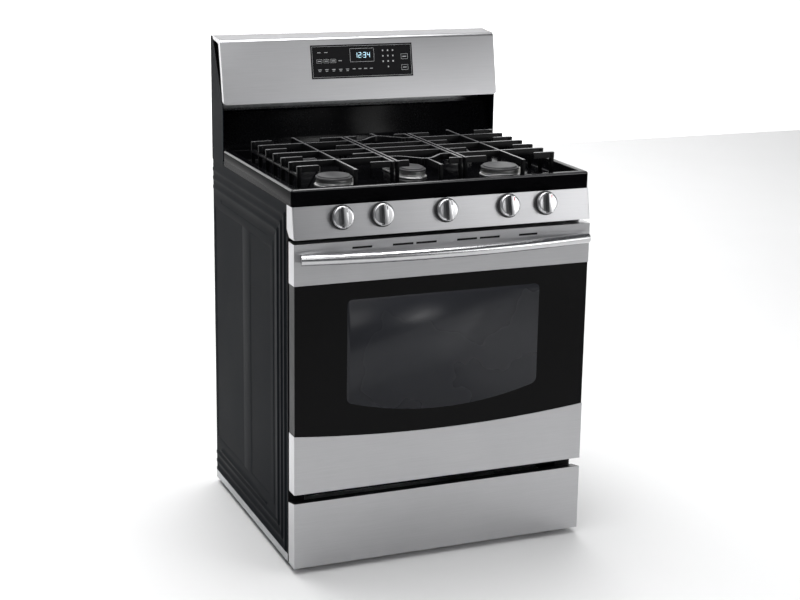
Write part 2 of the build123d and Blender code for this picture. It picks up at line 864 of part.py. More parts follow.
def outline_face(across, along, grow):
    """A burner's outline seen from above: round, or an oval with straight sides."""
    if along > across:
        return SlotCenterToCenter(2 * (along - across), 2 * (across + grow), rotation=90)
    return Circle(across + grow)


def burner_head(x, y, across, along):
    flange = extrude(Pos(x, y, pan_floor) * outline_face(across, along, 3), amount=4)
    drum = extrude(Pos(x, y, pan_floor) * outline_face(across, along, -3), amount=head_height)
    head = flange + drum
    head -= extrude(Pos(x, y, pan_floor + 6) * outline_face(across, along, -8), amount=head_height)
    neck = Pos(x, y, pan_floor - 5) * Cylinder(neck_radius, 12)
    bore = Pos(x, y, pan_floor - 5) * Cylinder(neck_radius - 4, 40)
    return head + neck - bore


def burner_cap(x, y, across, along):
    cap = extrude(Pos(x, y, pan_floor + head_height) * outline_face(across, along, 0), amount=cap_height)
    cap = fillet(cap.faces().sort_by(Axis.Z)[-1].edges(), 4)
    return cap - extrude(Pos(x, y, pan_floor + head_height - 1) * outline_face(across, along, -9), amount=4)


def igniter(x, y, across, along):
    place = (x + across + igniter_gap, y)
    stem = Pos(*place, pan_floor + 1) * Cylinder(3, 26)
    collar = Pos(*place, pan_floor - sheet - 4) * Cylinder(6, 8)
    tip = Pos(*place, pan_floor + 14) * Cylinder(1, 4)
    return stem + collar + tip


save("cooktop_pan", cooktop_pan())
save("burner_heads", *[burner_head(*place[1:]) for place in burner_places()])
save("burner_caps", *[burner_cap(*place[1:]) for place in burner_places()])
save("igniters", *[igniter(*place[1:]) for place in burner_places()])

tube_radius = 4
cup_radius = neck_radius + 5
cup_top = pan_floor - 11 - running


def supply_tube(valve_x, x, y):
    """Tube from a valve to the gas cup below its burner."""
    place = panel_place(valve_x)
    start = place.from_local_coords(Vector(0, 0, valve_back - 8 - running))
    turn = place.from_local_coords(Vector(0, 0, valve_back - 26))
    level = cup_top - 12
    run = [start, turn, (valve_x, turn.Y + 24, level)]
    if abs(x - valve_x) > tube_radius:
        run += [(x, y - 22, level)]
    tube = pipe([tuple(point) for point in run + [(x, y, level)]], tube_radius, 9)
    cup = Pos(x, y, cup_top - cup_depth / 2) * Cylinder(cup_radius, cup_depth)
    cup -= Pos(x, y, cup_top) * Cylinder(cup_radius - 3, 12)
    return tube + cup


tube_goals = {-260: "left_front", -161: "left_rear", 0: "centre", 161: "right_rear", 260: "right_front"}
burner_centres = {place[0]: place[1:3] for place in burner_places()}
save("supply_tubes", *[supply_tube(x, *burner_centres[tube_goals[x]]) for x in knob_positions])

# ---------- grates ----------

foot_width = 12
finger_gap = 64  # every other bar stops this far from the rail, clear of the burner
centre_finger = 52  # the centre grate's first and last bars stop this far from its middle
low_rail_drop = 14  # the rail that joins the outer feet, below the bars
bow_depth = 48
bow_half = 66
bar_low = grate_top - bar_height
last_bar = grate_first_bar + (grate_bars - 1) * bar_pitch


def bar_x(y, x_low, x_high):
    return block((x_low, x_high), (y - grate_bar / 2, y + grate_bar / 2), (bar_low, grate_top))


def bar_y(x, y_low, y_high):
    return block((x - grate_bar / 2, x + grate_bar / 2), (y_low, y_high), (bar_low, grate_top))


def foot(x, y):
    return block((x - grate_bar / 2, x + grate_bar / 2), (y - foot_width / 2, y + foot_width / 2),
                 (pan_floor, grate_top))


def fingers(y, tip, base):
    """Two short bars that point at each other from either side."""
    return bar_x(y, -base, -tip) + bar_x(y, tip, base)


def side_grate():
    """Right-hand grate: a rail over both burners, bars and fingers across, feet along the edge."""
    inner = seam_x + seam_gap / 2
    grate = bar_y(side_rail_x, grate_front, grate_back)
    grate += bar_y(inner + grate_bar / 2, grate_first_bar, last_bar)
    outer = side_grate_edge - grate_bar / 2
    for step in range(grate_bars):
        y = grate_first_bar + step * bar_pitch
        if step % 2:
            grate += bar_x(y, inner, side_grate_edge)
        else:
            grate += bar_x(y, inner, side_rail_x - finger_gap)
            grate += bar_x(y, side_rail_x + finger_gap, side_grate_edge)
        grate += foot(outer, y)
    grate += block((outer - grate_bar / 2, outer + grate_bar / 2), (grate_first_bar, last_bar),
                   (bar_low - low_rail_drop, bar_low - low_rail_drop + grate_bar))
    for y in (grate_front + foot_width / 2, grate_back - foot_width / 2):
        grate += foot(side_rail_x, y)
    for y in (grate_first_bar, last_bar):
        grate += foot(inner + grate_bar / 2, y)
    return grate


def centre_grate():
    """Middle grate over the oval burner, bowed and with a short bar at the front and the back."""
    half = seam_x - seam_gap / 2
    middle_bars = range(2, grate_bars - 2)
    bow_front, bow_back = grate_first_bar + bar_pitch, last_bar - bar_pitch
    grate = bowed_bar(bow_front, -bow_depth, half) + bowed_bar(bow_back, bow_depth, half)
    for x in (-half + grate_bar / 2, half - grate_bar / 2):
        grate += bar_y(x, grate_first_bar, last_bar)
    for step in middle_bars:
        grate += bar_x(grate_first_bar + step * bar_pitch, -half, half)
    for y in (grate_first_bar, last_bar):
        grate += fingers(y, centre_finger, half)
        for x in (-half + grate_bar / 2, half - grate_bar / 2):
            grate += foot(x, y)
    for y_low, y_high in ((grate_front, bow_front - bow_depth), (bow_back + bow_depth, grate_back)):
        grate += bar_y(0, y_low, y_high)
    for y in (grate_front + foot_width / 2, grate_back - foot_width / 2):
        grate += foot(0, y)
    return grate


def bowed_bar(y, bow, half):
    """A bar across that bows away from the burner between straight ends."""
    steps = [-bow_half + bow_half * step / 4 for step in range(9)]
    sides = [Spline([(x, y + shift + bow * (1 + cos(pi * x / bow_half)) / 2) for x in steps],
                    tangents=[(1, 0), (1, 0)]) for shift in (-grate_bar / 2, grate_bar / 2)]
    bow_face = make_face([*sides, Line(sides[0] @ 0, sides[1] @ 0), Line(sides[0] @ 1, sides[1] @ 1)])
    bar = extrude(Pos(0, 0, bar_low) * bow_face, amount=bar_height)
    return bar + bar_x(y, -half, -bow_half) + bar_x(y, bow_half, half)


right_grate = side_grate()
save("grate_right", right_grate)
save("grate_left", mirror(right_grate, about=Plane.YZ))
save("grate_centre", centre_grate())

# ---------- backguard ----------

riser_y = door_face + cooktop_back + touch
end_inner = half_width - cap_thickness


def slope_y(z):
    """Depth of the backguard's leaning face at a height."""
    return guard_face + guard_lean * (z - guard_bottom) / (guard_bend_z - guard_bottom)


def backguard_riser():
    outline = [(riser_y, body_top + 1), (riser_y, body_top + 47), (riser_y + 12, body_top + 59),
               (riser_y + 27, riser_top), (back_plane - 30, riser_top)]
    inside = [(y + 1.4 * sheet, z) for y, z in outline[:-2]]
    inside += [(riser_y + 27 + 1.4 * sheet, riser_top - sheet), (back_plane - 30, riser_top - sheet)]
    riser = along_x(outline + inside[::-1], -end_inner, end_inner)
    for step in range(-1, 2):
        x = step * 44
        riser -= block((x - 18, x + 18), (riser_y + 32, back_plane - 34), (riser_top - 5, riser_top + 5))
    return riser


def backguard_panel():
    half = half_width
    z_back = overall_height - 1
    top_back = back_plane - 17
    outline = [(guard_face, guard_bottom), (guard_face + 14, guard_bottom), (guard_face + 46, guard_bend_z - 10),
               (top_back, z_back - 6), (top_back, overall_height), (slope_y(guard_bend_z), guard_bend_z)]
    body = along_x(outline, -half, half)
    inside = [(guard_face + 1.2 * sheet, guard_bottom + sheet), (guard_face + 60, guard_bottom + sheet),
              (top_back + 5, guard_bottom + sheet), (top_back + 5, overall_height - sheet),
              (slope_y(guard_bend_z) + 1.2 * sheet, guard_bend_z - sheet)]
    body -= along_x(inside, -half + sheet, half - sheet)
    return body - control_solid(0, 10, 12)


def control_solid(margin, out, deep):
    """A slab on the leaning face at the control glass, proud by out and sunk by deep."""
    middle_z = control_bottom + control_height / 2
    tilt = degrees(atan2(guard_lean, guard_bend_z - guard_bottom))
    slab = Box(control_width + 2 * margin, out + deep, control_height + 2 * margin)
    slab = Pos(0, (deep - out) / 2, 0) * slab
    return Pos(0, slope_y(middle_z), middle_z) * Rot(-tilt, 0, 0) * slab


def guard_end_cap():
    """Side plate behind the panel's edge, from the cooktop up to the top."""
    outline = [(riser_y, body_top + side_tab), (back_plane, body_top + side_tab), (back_plane, overall_height - 2),
               (back_plane - 17, overall_height - 2), (back_plane - 17, overall_height - 8),
               (guard_face + 46, guard_bend_z - 10), (guard_face + 14, guard_bottom), (riser_y, guard_bottom - 8)]
    return along_x(outline, end_inner, half_width)


save("backguard_riser", backguard_riser())
save("backguard_panel", backguard_panel())
save("backguard_end_caps", *both_sides(guard_end_cap()))
save("control_glass", control_solid(-0.2, 0.6, 2.4))


def control_board():
    """Circuit board behind the glass, with its display module and relays."""
    board = control_solid(-12, -8, 9.6)
    display = control_solid(-12, -2.6, 8) & block((-34, 34), (guard_face, back_plane), (1140, 1180))
    relays = [control_solid(-14, -9.6, 24) & block((x, x + 22), (guard_face, back_plane), (1125, 1150))
              for x in (-110, -70, 60)]
    piece = board + display
    for relay in relays:
        piece += relay
    return piece


save("control_board", control_board())
rear_half = end_inner - 0.2


def backguard_rear():
    top = overall_height - 3
    plate = block((-rear_half, rear_half), (back_plane - 2 * sheet, back_plane - sheet),
                  (body_top + side_tab + 0.2, top))
    plate += block((-rear_half, rear_half), (back_plane - 16.5, back_plane - sheet), (top - sheet, top))
    for step in range(-5, 6):
        x = step * 56
        for rise in (0, 14, 28):
            plate -= block((x - 20, x + 20), (back_plane - 4, back_plane), (1120 + rise, 1124 + rise))
    return plate


save("backguard_rear", backguard_rear())


def power_inlet():
    """Gland plate inside the rear cover, where the supply lead enters."""
    x, z = inlet_place
    y = cover_y[0]
    plate = block((x - 22, x + 22), (y - 3, y), (z - 18, z + 18))
    gland = rod((x, y - 12, z), (x, back_plane, z), gland_radius)
    return plate + gland - rod((x, y - 30, z), (x, back_plane + 1, z), gland_radius - 4)


save("power_inlet", power_inlet())
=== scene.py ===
import json
import math
import bpy
import bmesh
from mathutils import Matrix, Vector


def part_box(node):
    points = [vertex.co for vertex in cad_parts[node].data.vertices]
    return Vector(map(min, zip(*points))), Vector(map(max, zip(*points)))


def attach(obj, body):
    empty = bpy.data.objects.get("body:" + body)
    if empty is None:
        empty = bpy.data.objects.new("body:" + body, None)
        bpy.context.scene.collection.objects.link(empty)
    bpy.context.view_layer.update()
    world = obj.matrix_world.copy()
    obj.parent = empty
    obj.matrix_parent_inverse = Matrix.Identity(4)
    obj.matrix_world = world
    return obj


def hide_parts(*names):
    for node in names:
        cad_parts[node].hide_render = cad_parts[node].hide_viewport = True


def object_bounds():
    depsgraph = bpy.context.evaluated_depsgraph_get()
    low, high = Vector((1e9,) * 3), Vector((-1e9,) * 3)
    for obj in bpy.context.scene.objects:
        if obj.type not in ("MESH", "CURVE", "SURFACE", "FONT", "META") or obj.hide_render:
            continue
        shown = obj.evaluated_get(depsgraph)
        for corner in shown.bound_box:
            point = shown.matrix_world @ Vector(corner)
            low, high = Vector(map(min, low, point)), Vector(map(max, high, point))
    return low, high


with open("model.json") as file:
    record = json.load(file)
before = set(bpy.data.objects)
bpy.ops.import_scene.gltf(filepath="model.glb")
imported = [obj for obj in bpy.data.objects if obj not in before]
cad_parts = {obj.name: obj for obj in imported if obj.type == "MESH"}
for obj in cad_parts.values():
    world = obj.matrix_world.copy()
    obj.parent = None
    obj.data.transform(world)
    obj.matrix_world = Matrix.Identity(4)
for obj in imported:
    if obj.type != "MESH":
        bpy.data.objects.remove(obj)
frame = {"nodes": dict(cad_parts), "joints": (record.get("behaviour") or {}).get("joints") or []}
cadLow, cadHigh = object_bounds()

scene = bpy.context.scene
mm = 0.001

# places read from the frame
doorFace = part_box("door_bottom_trim")[0].y
halfWidth = cadHigh.x
panLow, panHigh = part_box("cooktop_pan")
panelLow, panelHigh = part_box("manifold_panel")
lowerLow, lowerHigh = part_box("door_bottom_trim")
upperLow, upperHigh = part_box("door_top_trim")
drawerLow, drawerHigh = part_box("drawer_front")
sideLow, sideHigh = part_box("side_panel_left")
guardLow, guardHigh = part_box("backguard_panel")
riserLow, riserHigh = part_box("backguard_riser")
glassLow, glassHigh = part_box("control_glass")
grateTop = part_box("grate_left")[1].z
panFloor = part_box("grate_left")[0].z
knobJoints = [j for j in frame["joints"] if j["name"].startswith("knob") and j["name"].endswith("turn")]


# shaping helpers
def addBox(bm, low, high):
    made = bmesh.ops.create_cube(bm, size=1)["verts"]
    low, high = Vector(low), Vector(high)
    bmesh.ops.scale(bm, vec=high - low, verts=made)
    bmesh.ops.translate(bm, vec=(low + high) / 2, verts=made)
    return made


def axisMatrix(start, direction):
    turn = Vector(direction).normalized().to_track_quat("Z", "Y").to_matrix().to_4x4()
    return Matrix.Translation(Vector(start)) @ turn


def addRod(bm, start, end, radius, segments=32):
    run = Vector(end) - Vector(start)
    bmesh.ops.create_cone(bm, cap_ends=True, segments=segments, radius1=radius, radius2=radius, depth=run.length,
                          matrix=axisMatrix((Vector(start) + Vector(end)) / 2, run))


def cutAt(bm, axis, value):
    # cuts the whole mesh where one coordinate has this value
    place, across = Vector((0, 0, 0)), Vector((0, 0, 0))
    place[axis], across[axis] = value, 1
    bmesh.ops.bisect_plane(bm, geom=bm.verts[:] + bm.edges[:] + bm.faces[:], plane_co=place, plane_no=across)


def openUp(bm, test):
    bmesh.ops.delete(bm, geom=[f for f in bm.faces if test(f)], context="FACES")


def bevelEdges(bm, edges, width, segments):
    bmesh.ops.bevel(bm, geom=list(edges), offset=width, offset_type="OFFSET", segments=segments,
                    affect="EDGES", profile=0.5, material=-1)


def roundEdges(piece, width, steps=2, fromAngle=35):
    edge = piece.modifiers.new("edgeRounding", "BEVEL")
    edge.width = width
    edge.segments = steps
    edge.limit_method = "ANGLE"
    edge.angle_limit = math.radians(fromAngle)
    edge.harden_normals = True


def foldSheet(piece, wall):
    sheet = piece.modifiers.new("sheet", "SOLIDIFY")
    sheet.thickness = wall
    sheet.offset = -1


def makePiece(name, bm, body, material, replaced=(), bevel=0.0, smoothAngle=35):
    bmesh.ops.remove_doubles(bm, verts=bm.verts, dist=1e-6)
    bmesh.ops.recalc_face_normals(bm, faces=bm.faces)
    mesh = bpy.data.meshes.new(name)
    bm.to_mesh(mesh)
    bm.free()
    for layer in material if isinstance(material, list) else [material]:
        mesh.materials.append(layer)
    mesh.shade_smooth()
    mesh.set_sharp_from_angle(angle=math.radians(smoothAngle))
    piece = bpy.data.objects.new(name, mesh)
    scene.collection.objects.link(piece)
    if bevel:
        roundEdges(piece, bevel)
    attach(piece, body)
    if replaced:
        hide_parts(*replaced)
    return piece


def taggedMaterials(bm, test, index):
    # gives the faces that pass the test another of the piece's materials
    for f in bm.faces:
        if test(f):
            f.material_index = index


# finishes
def newMaterial(name):
    made = bpy.data.materials.new(name)
    made.use_nodes = True
    tree = made.node_tree
    return made, tree, tree.nodes["Principled BSDF"]


def patternNode(tree, kind, stretch, **settings):
    coords = tree.nodes.new("ShaderNodeTexCoord")
    mapping = tree.nodes.new("ShaderNodeMapping")
    mapping.inputs["Scale"].default_value = stretch
    tree.links.new(coords.outputs["Object"], mapping.inputs["Vector"])
    node = tree.nodes.new(kind)
    for name, value in settings.items():
        if name in node.inputs:
            node.inputs[name].default_value = value
        else:
            setattr(node, name, value)
    tree.links.new(mapping.outputs["Vector"], node.inputs["Vector"])
    return node


def spread(tree, source, low, high, fromLow=0.3, fromHigh=0.7):
    node = tree.nodes.new("ShaderNodeMapRange")
    node.inputs["From Min"].default_value = fromLow
    node.inputs["From Max"].default_value = fromHigh
    node.inputs["To Min"].default_value = low
    node.inputs["To Max"].default_value = high
    tree.links.new(source, node.inputs["Value"])
    return node.outputs["Result"]


def blendColours(tree, source, first, second):
    node = tree.nodes.new("ShaderNodeMix")
    node.data_type = "RGBA"
    node.inputs["A"].default_value = (*first, 1)
    node.inputs["B"].default_value = (*second, 1)
    tree.links.new(source, node.inputs["Factor"])
    return node.outputs["Result"]


def addBump(tree, shader, source, strength, distance):
    bump = tree.nodes.new("ShaderNodeBump")
    bump.inputs["Strength"].default_value = strength
    bump.inputs["Distance"].default_value = distance
    tree.links.new(source, bump.inputs["Height"])
    tree.links.new(bump.outputs["Normal"], shader.inputs["Normal"])


def mathNode(tree, operation, first, second):
    node = tree.nodes.new("ShaderNodeMath")
    node.operation = operation
    for socket, value in zip(node.inputs, (first, second)):
        if isinstance(value, (int, float)):
            socket.default_value = value
        else:
            tree.links.new(value, socket)
    return node.outputs[0]


def surface(name, look):
    # one finish: two close colours, two roughness limits, a fine grain and its bump
    made, tree, shader = newMaterial(name)
    grain = patternNode(tree, "ShaderNodeTexNoise", look["grain"], Scale=1.0, Detail=look.get("detail", 4.0),
                        Roughness=0.6).outputs["Fac"]
    cloud = patternNode(tree, "ShaderNodeTexNoise", (6, 6, 6), Scale=1.0, Detail=3.0).outputs["Fac"]
    grainShare = look.get("grainShare", 0.6)
    tone = mathNode(tree, "ADD", mathNode(tree, "MULTIPLY", grain, grainShare),
                    mathNode(tree, "MULTIPLY", cloud, 1 - grainShare))
    tree.links.new(blendColours(tree, spread(tree, tone, 0, 1), look["dark"], look["light"]),
                   shader.inputs["Base Color"])
    tree.links.new(spread(tree, tone, *look["rough"]), shader.inputs["Roughness"])
    shader.inputs["Metallic"].default_value = look.get("metal", 0.0)
    shader.inputs["Anisotropic"].default_value = look.get("brushed", 0.0)
    shader.inputs["Specular IOR Level"].default_value = look.get("gloss", 0.5)
    addBump(tree, shader, grain, look["bump"], look["depth"])
    return made


looks = {
    # dark and light tone, roughness limits, grain repeats per metre along X, Y and Z, gloss where not plain
    "stainlessFront": {"dark": (0.42, 0.42, 0.43), "light": (0.50, 0.50, 0.51), "rough": (0.30, 0.42),
                       "metal": 1.0, "grain": (9, 900, 900), "bump": 0.12, "depth": 0.00004, "brushed": 0.55},
    "stainlessHandle": {"dark": (0.56, 0.56, 0.57), "light": (0.66, 0.66, 0.67), "rough": (0.20, 0.30),
                        "metal": 1.0, "grain": (12, 1100, 1100), "bump": 0.08, "depth": 0.00003, "brushed": 0.4},
    # the next finish is a darker copy of the steel for the backguard's flat top: painted shade
    "stainlessPaintedShadeTop": {"dark": (0.16, 0.16, 0.165), "light": (0.20, 0.20, 0.205), "rough": (0.40, 0.50),
                     "metal": 1.0, "grain": (9, 900, 900), "bump": 0.10, "depth": 0.00004},
    # the next finish is a lighter copy of the steel for the side returns and end plates: painted highlight
    "stainlessReturnPaintedHighlight": {"dark": (0.60, 0.60, 0.61), "light": (0.68, 0.68, 0.69), "rough": (0.28, 0.38),
                        "metal": 1.0, "grain": (900, 900, 12), "bump": 0.08, "depth": 0.00003},
    "charcoalPaint": {"dark": (0.004, 0.0055, 0.0075), "light": (0.007, 0.009, 0.012), "rough": (0.34, 0.44),
                      "gloss": 0.01, "grain": (700, 700, 700), "bump": 0.10, "depth": 0.00012, "detail": 2.0},
    "blackPaint": {"dark": (0.006, 0.006, 0.007), "light": (0.011, 0.011, 0.012), "rough": (0.32, 0.45),
                   "gloss": 0.2, "grain": (600, 600, 600), "bump": 0.10, "depth": 0.0001},
    "blackEnamel": {"dark": (0.0015, 0.0015, 0.002), "light": (0.003, 0.003, 0.0035), "rough": (0.07, 0.13),
                    "gloss": 0.03, "grain": (160, 160, 160), "bump": 0.03, "depth": 0.0001},
    "skirtEnamel": {"dark": (0.0015, 0.0015, 0.002), "light": (0.003, 0.003, 0.0035), "rough": (0.10, 0.16),
                    "gloss": 0.005, "grain": (160, 160, 160), "bump": 0.03, "depth": 0.0001},
    # the next finish is a lighter, glossier copy of the black enamel for the rounded band along the rim: painted
    # highlight
    "enamelPaintedHighlight": {"dark": (0.03, 0.03, 0.032), "light": (0.05, 0.05, 0.052), "rough": (0.12, 0.20),
                   "gloss": 0.6, "grain": (160, 160, 160), "bump": 0.03, "depth": 0.0001},
    "riserEnamel": {"dark": (0.0015, 0.0015, 0.002), "light": (0.003, 0.003, 0.0035), "rough": (0.22, 0.32),
                    "gloss": 0.12, "grain": (160, 160, 160), "bump": 0.03, "depth": 0.0001},
    "ovenEnamel": {"dark": (0.012, 0.013, 0.020), "light": (0.05, 0.055, 0.07), "rough": (0.16, 0.28),
                   "grain": (1500, 1500, 1500), "grainShare": 0.9, "bump": 0.06, "depth": 0.0001},
    "castIron": {"dark": (0.0015, 0.0015, 0.002), "light": (0.004, 0.004, 0.0045), "rough": (0.26, 0.40),
                 "gloss": 0.10, "grain": (1300, 1300, 1300), "bump": 0.35, "depth": 0.00025},
    # the next finish is a lighter, glossier copy of the cast iron for the bars' upper faces: painted highlight
    "castIronPaintedHighlight": {"dark": (0.08, 0.08, 0.083), "light": (0.13, 0.13, 0.134), "rough": (0.24, 0.36),
                    "gloss": 0.4, "grain": (1300, 1300, 1300), "bump": 0.30, "depth": 0.0002},
    "capEnamel": {"dark": (0.05, 0.05, 0.052), "light": (0.08, 0.08, 0.083), "rough": (0.36, 0.48),
                  "grain": (1600, 1600, 1600), "bump": 0.15, "depth": 0.0001},
    "castAluminium": {"dark": (0.70, 0.70, 0.70), "light": (0.90, 0.90, 0.89), "rough": (0.30, 0.46),
                      "metal": 1.0, "grain": (900, 900, 900), "bump": 0.25, "depth": 0.00015},
    "polishedKnob": {"dark": (0.66, 0.66, 0.67), "light": (0.76, 0.76, 0.77), "rough": (0.26, 0.34),
                     "metal": 1.0, "grain": (500, 500, 500), "bump": 0.04, "depth": 0.00002},
    # the next finish is a darker copy of the knob chrome for the grip's sides: painted shade standing in for their
    # dark reflections
    "gripPaintedShade": {"dark": (0.14, 0.14, 0.145), "light": (0.24, 0.24, 0.245), "rough": (0.16, 0.24),
                 "metal": 1.0, "grain": (500, 500, 500), "bump": 0.04, "depth": 0.00002},
    "bezelPlastic": {"dark": (0.018, 0.018, 0.020), "light": (0.030, 0.030, 0.032), "rough": (0.35, 0.5),
                     "grain": (1800, 1800, 1800), "bump": 0.12, "depth": 0.0001},
    "galvanised": {"dark": (0.42, 0.43, 0.44), "light": (0.60, 0.61, 0.62), "rough": (0.34, 0.52),
                   "metal": 1.0, "grain": (90, 90, 90), "bump": 0.08, "depth": 0.0001, "detail": 1.0},
    "zincSteel": {"dark": (0.40, 0.40, 0.39), "light": (0.58, 0.58, 0.56), "rough": (0.3, 0.5),
                  "metal": 1.0, "grain": (400, 400, 400), "bump": 0.12, "depth": 0.0001},
    "rackWire": {"dark": (0.62, 0.62, 0.62), "light": (0.76, 0.76, 0.76), "rough": (0.16, 0.28),
                 "metal": 1.0, "grain": (300, 300, 300), "bump": 0.05, "depth": 0.0001},
    "aluminiumTube": {"dark": (0.55, 0.55, 0.55), "light": (0.70, 0.70, 0.70), "rough": (0.28, 0.42),
                      "metal": 1.0, "grain": (300, 300, 300), "bump": 0.06, "depth": 0.0001},
    "valveBrass": {"dark": (0.50, 0.36, 0.14), "light": (0.68, 0.52, 0.24), "rough": (0.26, 0.42),
                   "metal": 1.0, "grain": (500, 500, 500), "bump": 0.1, "depth": 0.0001},
    "gasketBraid": {"dark": (0.05, 0.05, 0.05), "light": (0.16, 0.16, 0.15), "rough": (0.75, 0.95),
                    "grain": (1400, 1400, 500), "bump": 0.8, "depth": 0.0006},
    "fibreBlanket": {"dark": (0.50, 0.47, 0.34), "light": (0.78, 0.75, 0.62), "rough": (0.85, 1.0),
                     "grain": (260, 60, 260), "bump": 0.9, "depth": 0.002},
    "lampCeramic": {"dark": (0.80, 0.79, 0.76), "light": (0.90, 0.89, 0.86), "rough": (0.2, 0.35),
                    "grain": (500, 500, 500), "bump": 0.08, "depth": 0.0001},
    "boardGreen": {"dark": (0.010, 0.07, 0.030), "light": (0.02, 0.12, 0.05), "rough": (0.3, 0.5),
                   "grain": (500, 500, 500), "bump": 0.1, "depth": 0.0001},
    "paintedMark": {"dark": (0.50, 0.51, 0.52), "light": (0.62, 0.63, 0.64), "rough": (0.4, 0.5),
                    "grain": (900, 900, 900), "bump": 0.02, "depth": 0.00002},
    "redMark": {"dark": (0.45, 0.012, 0.012), "light": (0.60, 0.02, 0.02), "rough": (0.35, 0.45),
                "grain": (900, 900, 900), "bump": 0.02, "depth": 0.00002},
    "darkMark": {"dark": (0.02, 0.02, 0.022), "light": (0.035, 0.035, 0.037), "rough": (0.35, 0.45),
                 "grain": (900, 900, 900), "bump": 0.02, "depth": 0.00002},
    "controlGlass": {"dark": (0.006, 0.006, 0.007), "light": (0.009, 0.009, 0.010), "rough": (0.05, 0.09),
                     "gloss": 0.05, "grain": (60, 60, 60), "bump": 0.01, "depth": 0.00002},
}
finish = {name: surface(name, look) for name, look in looks.items()}


def litMaterial():
    # pale blue segments of the clock, lit from inside
    made, tree, shader = newMaterial("displaySegments")
    glow = patternNode(tree, "ShaderNodeTexNoise", (200, 200, 200), Scale=1.0)
    tree.links.new(blendColours(tree, glow.outputs["Fac"], (0.45, 0.72, 0.85), (0.62, 0.85, 0.95)),
                   shader.inputs["Base Color"])
    tree.links.new(blendColours(tree, glow.outputs["Fac"], (0.45, 0.75, 0.9), (0.6, 0.9, 1.0)),
                   shader.inputs["Emission Color"])
    shader.inputs["Emission Strength"].default_value = 0.8
    shader.inputs["Roughness"].default_value = 0.4
    return made


def clearGlass():
    made, tree, shader = newMaterial("clearGlass")
    smear = patternNode(tree, "ShaderNodeTexNoise", (30, 30, 30), Scale=1.0, Detail=5.0)
    tree.links.new(spread(tree, smear.outputs["Fac"], 0.03, 0.10), shader.inputs["Roughness"])
    tree.links.new(blendColours(tree, smear.outputs["Fac"], (0.80, 0.84, 0.83), (0.88, 0.90, 0.90)),
                   shader.inputs["Base Color"])
    shader.inputs["Transmission Weight"].default_value = 0.85
    shader.inputs["IOR"].default_value = 1.45
    return made


def doorGlassMaterial():
    # near black glass, polished and very slightly smeared
    made, tree, shader = newMaterial("doorGlass")
    smear = patternNode(tree, "ShaderNodeTexNoise", (5, 5, 5), Scale=1.0, Detail=4.0)
    tree.links.new(blendColours(tree, smear.outputs["Fac"], (0.0006, 0.0006, 0.0008), (0.0012, 0.0012, 0.0015)),
                   shader.inputs["Base Color"])
    tree.links.new(spread(tree, smear.outputs["Fac"], 0.025, 0.05), shader.inputs["Roughness"])
    shader.inputs["Specular IOR Level"].default_value = 0.10
    return made


def windowMaterial():
    # dotted tint printed on the window
    made, tree, shader = newMaterial("windowTint")
    dots = patternNode(tree, "ShaderNodeTexVoronoi", (620, 620, 620), Scale=1.0, Randomness=0.0)
    wash = patternNode(tree, "ShaderNodeTexNoise", (4, 4, 4), Scale=1.0, Detail=3.0)
    mixed = mathNode(tree, "MULTIPLY", spread(tree, dots.outputs["Distance"], 0.75, 1.0, 0.1, 0.6),
                     spread(tree, wash.outputs["Fac"], 0.8, 1.0))
    tree.links.new(blendColours(tree, mixed, (0.010, 0.011, 0.013), (0.030, 0.031, 0.036)),
                   shader.inputs["Base Color"])
    tree.links.new(spread(tree, wash.outputs["Fac"], 0.24, 0.30), shader.inputs["Roughness"])
    shader.inputs["Specular IOR Level"].default_value = 0.2
    return made


finish["segments"] = litMaterial()
finish["clearGlass"] = clearGlass()
finish["doorGlass"] = doorGlassMaterial()
finish["windowTint"] = windowMaterial()

carriedFinishes = {
    "blackPaint": ["front_frame", "door_frame"],
    "charcoalPaint": ["backguard_end_caps"],
    "galvanised": ["back_cover", "base_frame", "backguard_rear", "drawer_rails", "flue_duct", "drawer_box"],
    "ovenEnamel": ["oven_liner", "oven_floor_pan"],
    "zincSteel": ["bake_burner", "broil_burner", "hinge_arms", "hinge_channels", "leveling_feet"]
                 + [f"valve_stem_{n}" for n in range(1, 6)],
    "gasketBraid": ["oven_gasket"],
    "fibreBlanket": ["insulation_wrap", "door_insulation"],
    "lampCeramic": ["oven_lamp", "igniters"],
    "clearGlass": ["lamp_lens", "window_glass"],
    "aluminiumTube": ["gas_manifold", "supply_tubes"],
    "valveBrass": ["gas_valves"],
    "castAluminium": ["gas_regulator"],
    "bezelPlastic": ["power_inlet"],
    "boardGreen": ["control_board"],
    "rackWire": ["oven_rack_lower", "oven_rack_upper"],
}
for finishName, names in carriedFinishes.items():
    for name in names:
        mesh = frame["nodes"][name].data
        mesh.materials.clear()
        mesh.materials.append(finish[finishName])
print("materials made")


# side panels
sidePanel = {
    "relief": 1.6 * mm,  # how far the pressed shapes stand proud or lie low
    "slope": 2.2 * mm, "fieldSlope": 5.5 * mm, "slotSlope": 1.5 * mm,
    "skin": 2.4 * mm, "sheet": 1.2 * mm, "flange": 24 * mm, "tabGap": 0.3 * mm,
    "front": 53,  # measured back from the door face, like every depth below
    "ribs": [(69, 872), (95, 849), (122, 825)],  # outer corner of each nested rib, depth and height
    "ribWidth": 11,
    "middle": 452,  # the ribs mirror about this height
    "hollows": [(202, 594, 788, 797), (152, 160, 120, 785)],  # nearest, farthest, lowest and highest
    "fields": [(180, 345, 134, 766), (405, 647, 132, 770)],
    "lowBar": (220, 619, 96, 106),
}


def pressed(bm, side, test, rise, slope):
    # pushes the faces whose centre passes the test outwards, with sloping walls
    chosen = [f for f in bm.faces if abs(f.normal.x) > 0.9 and f.normal.x * side > 0
              and test((f.calc_center_median().y - doorFace) / mm, f.calc_center_median().z / mm)]
    bmesh.ops.inset_region(bm, faces=chosen, thickness=slope, depth=rise, use_boundary=True, use_even_offset=True)


def within(y0, y1, z0, z1):
    return lambda y, z: y0 < y < y1 and z0 < z < z1


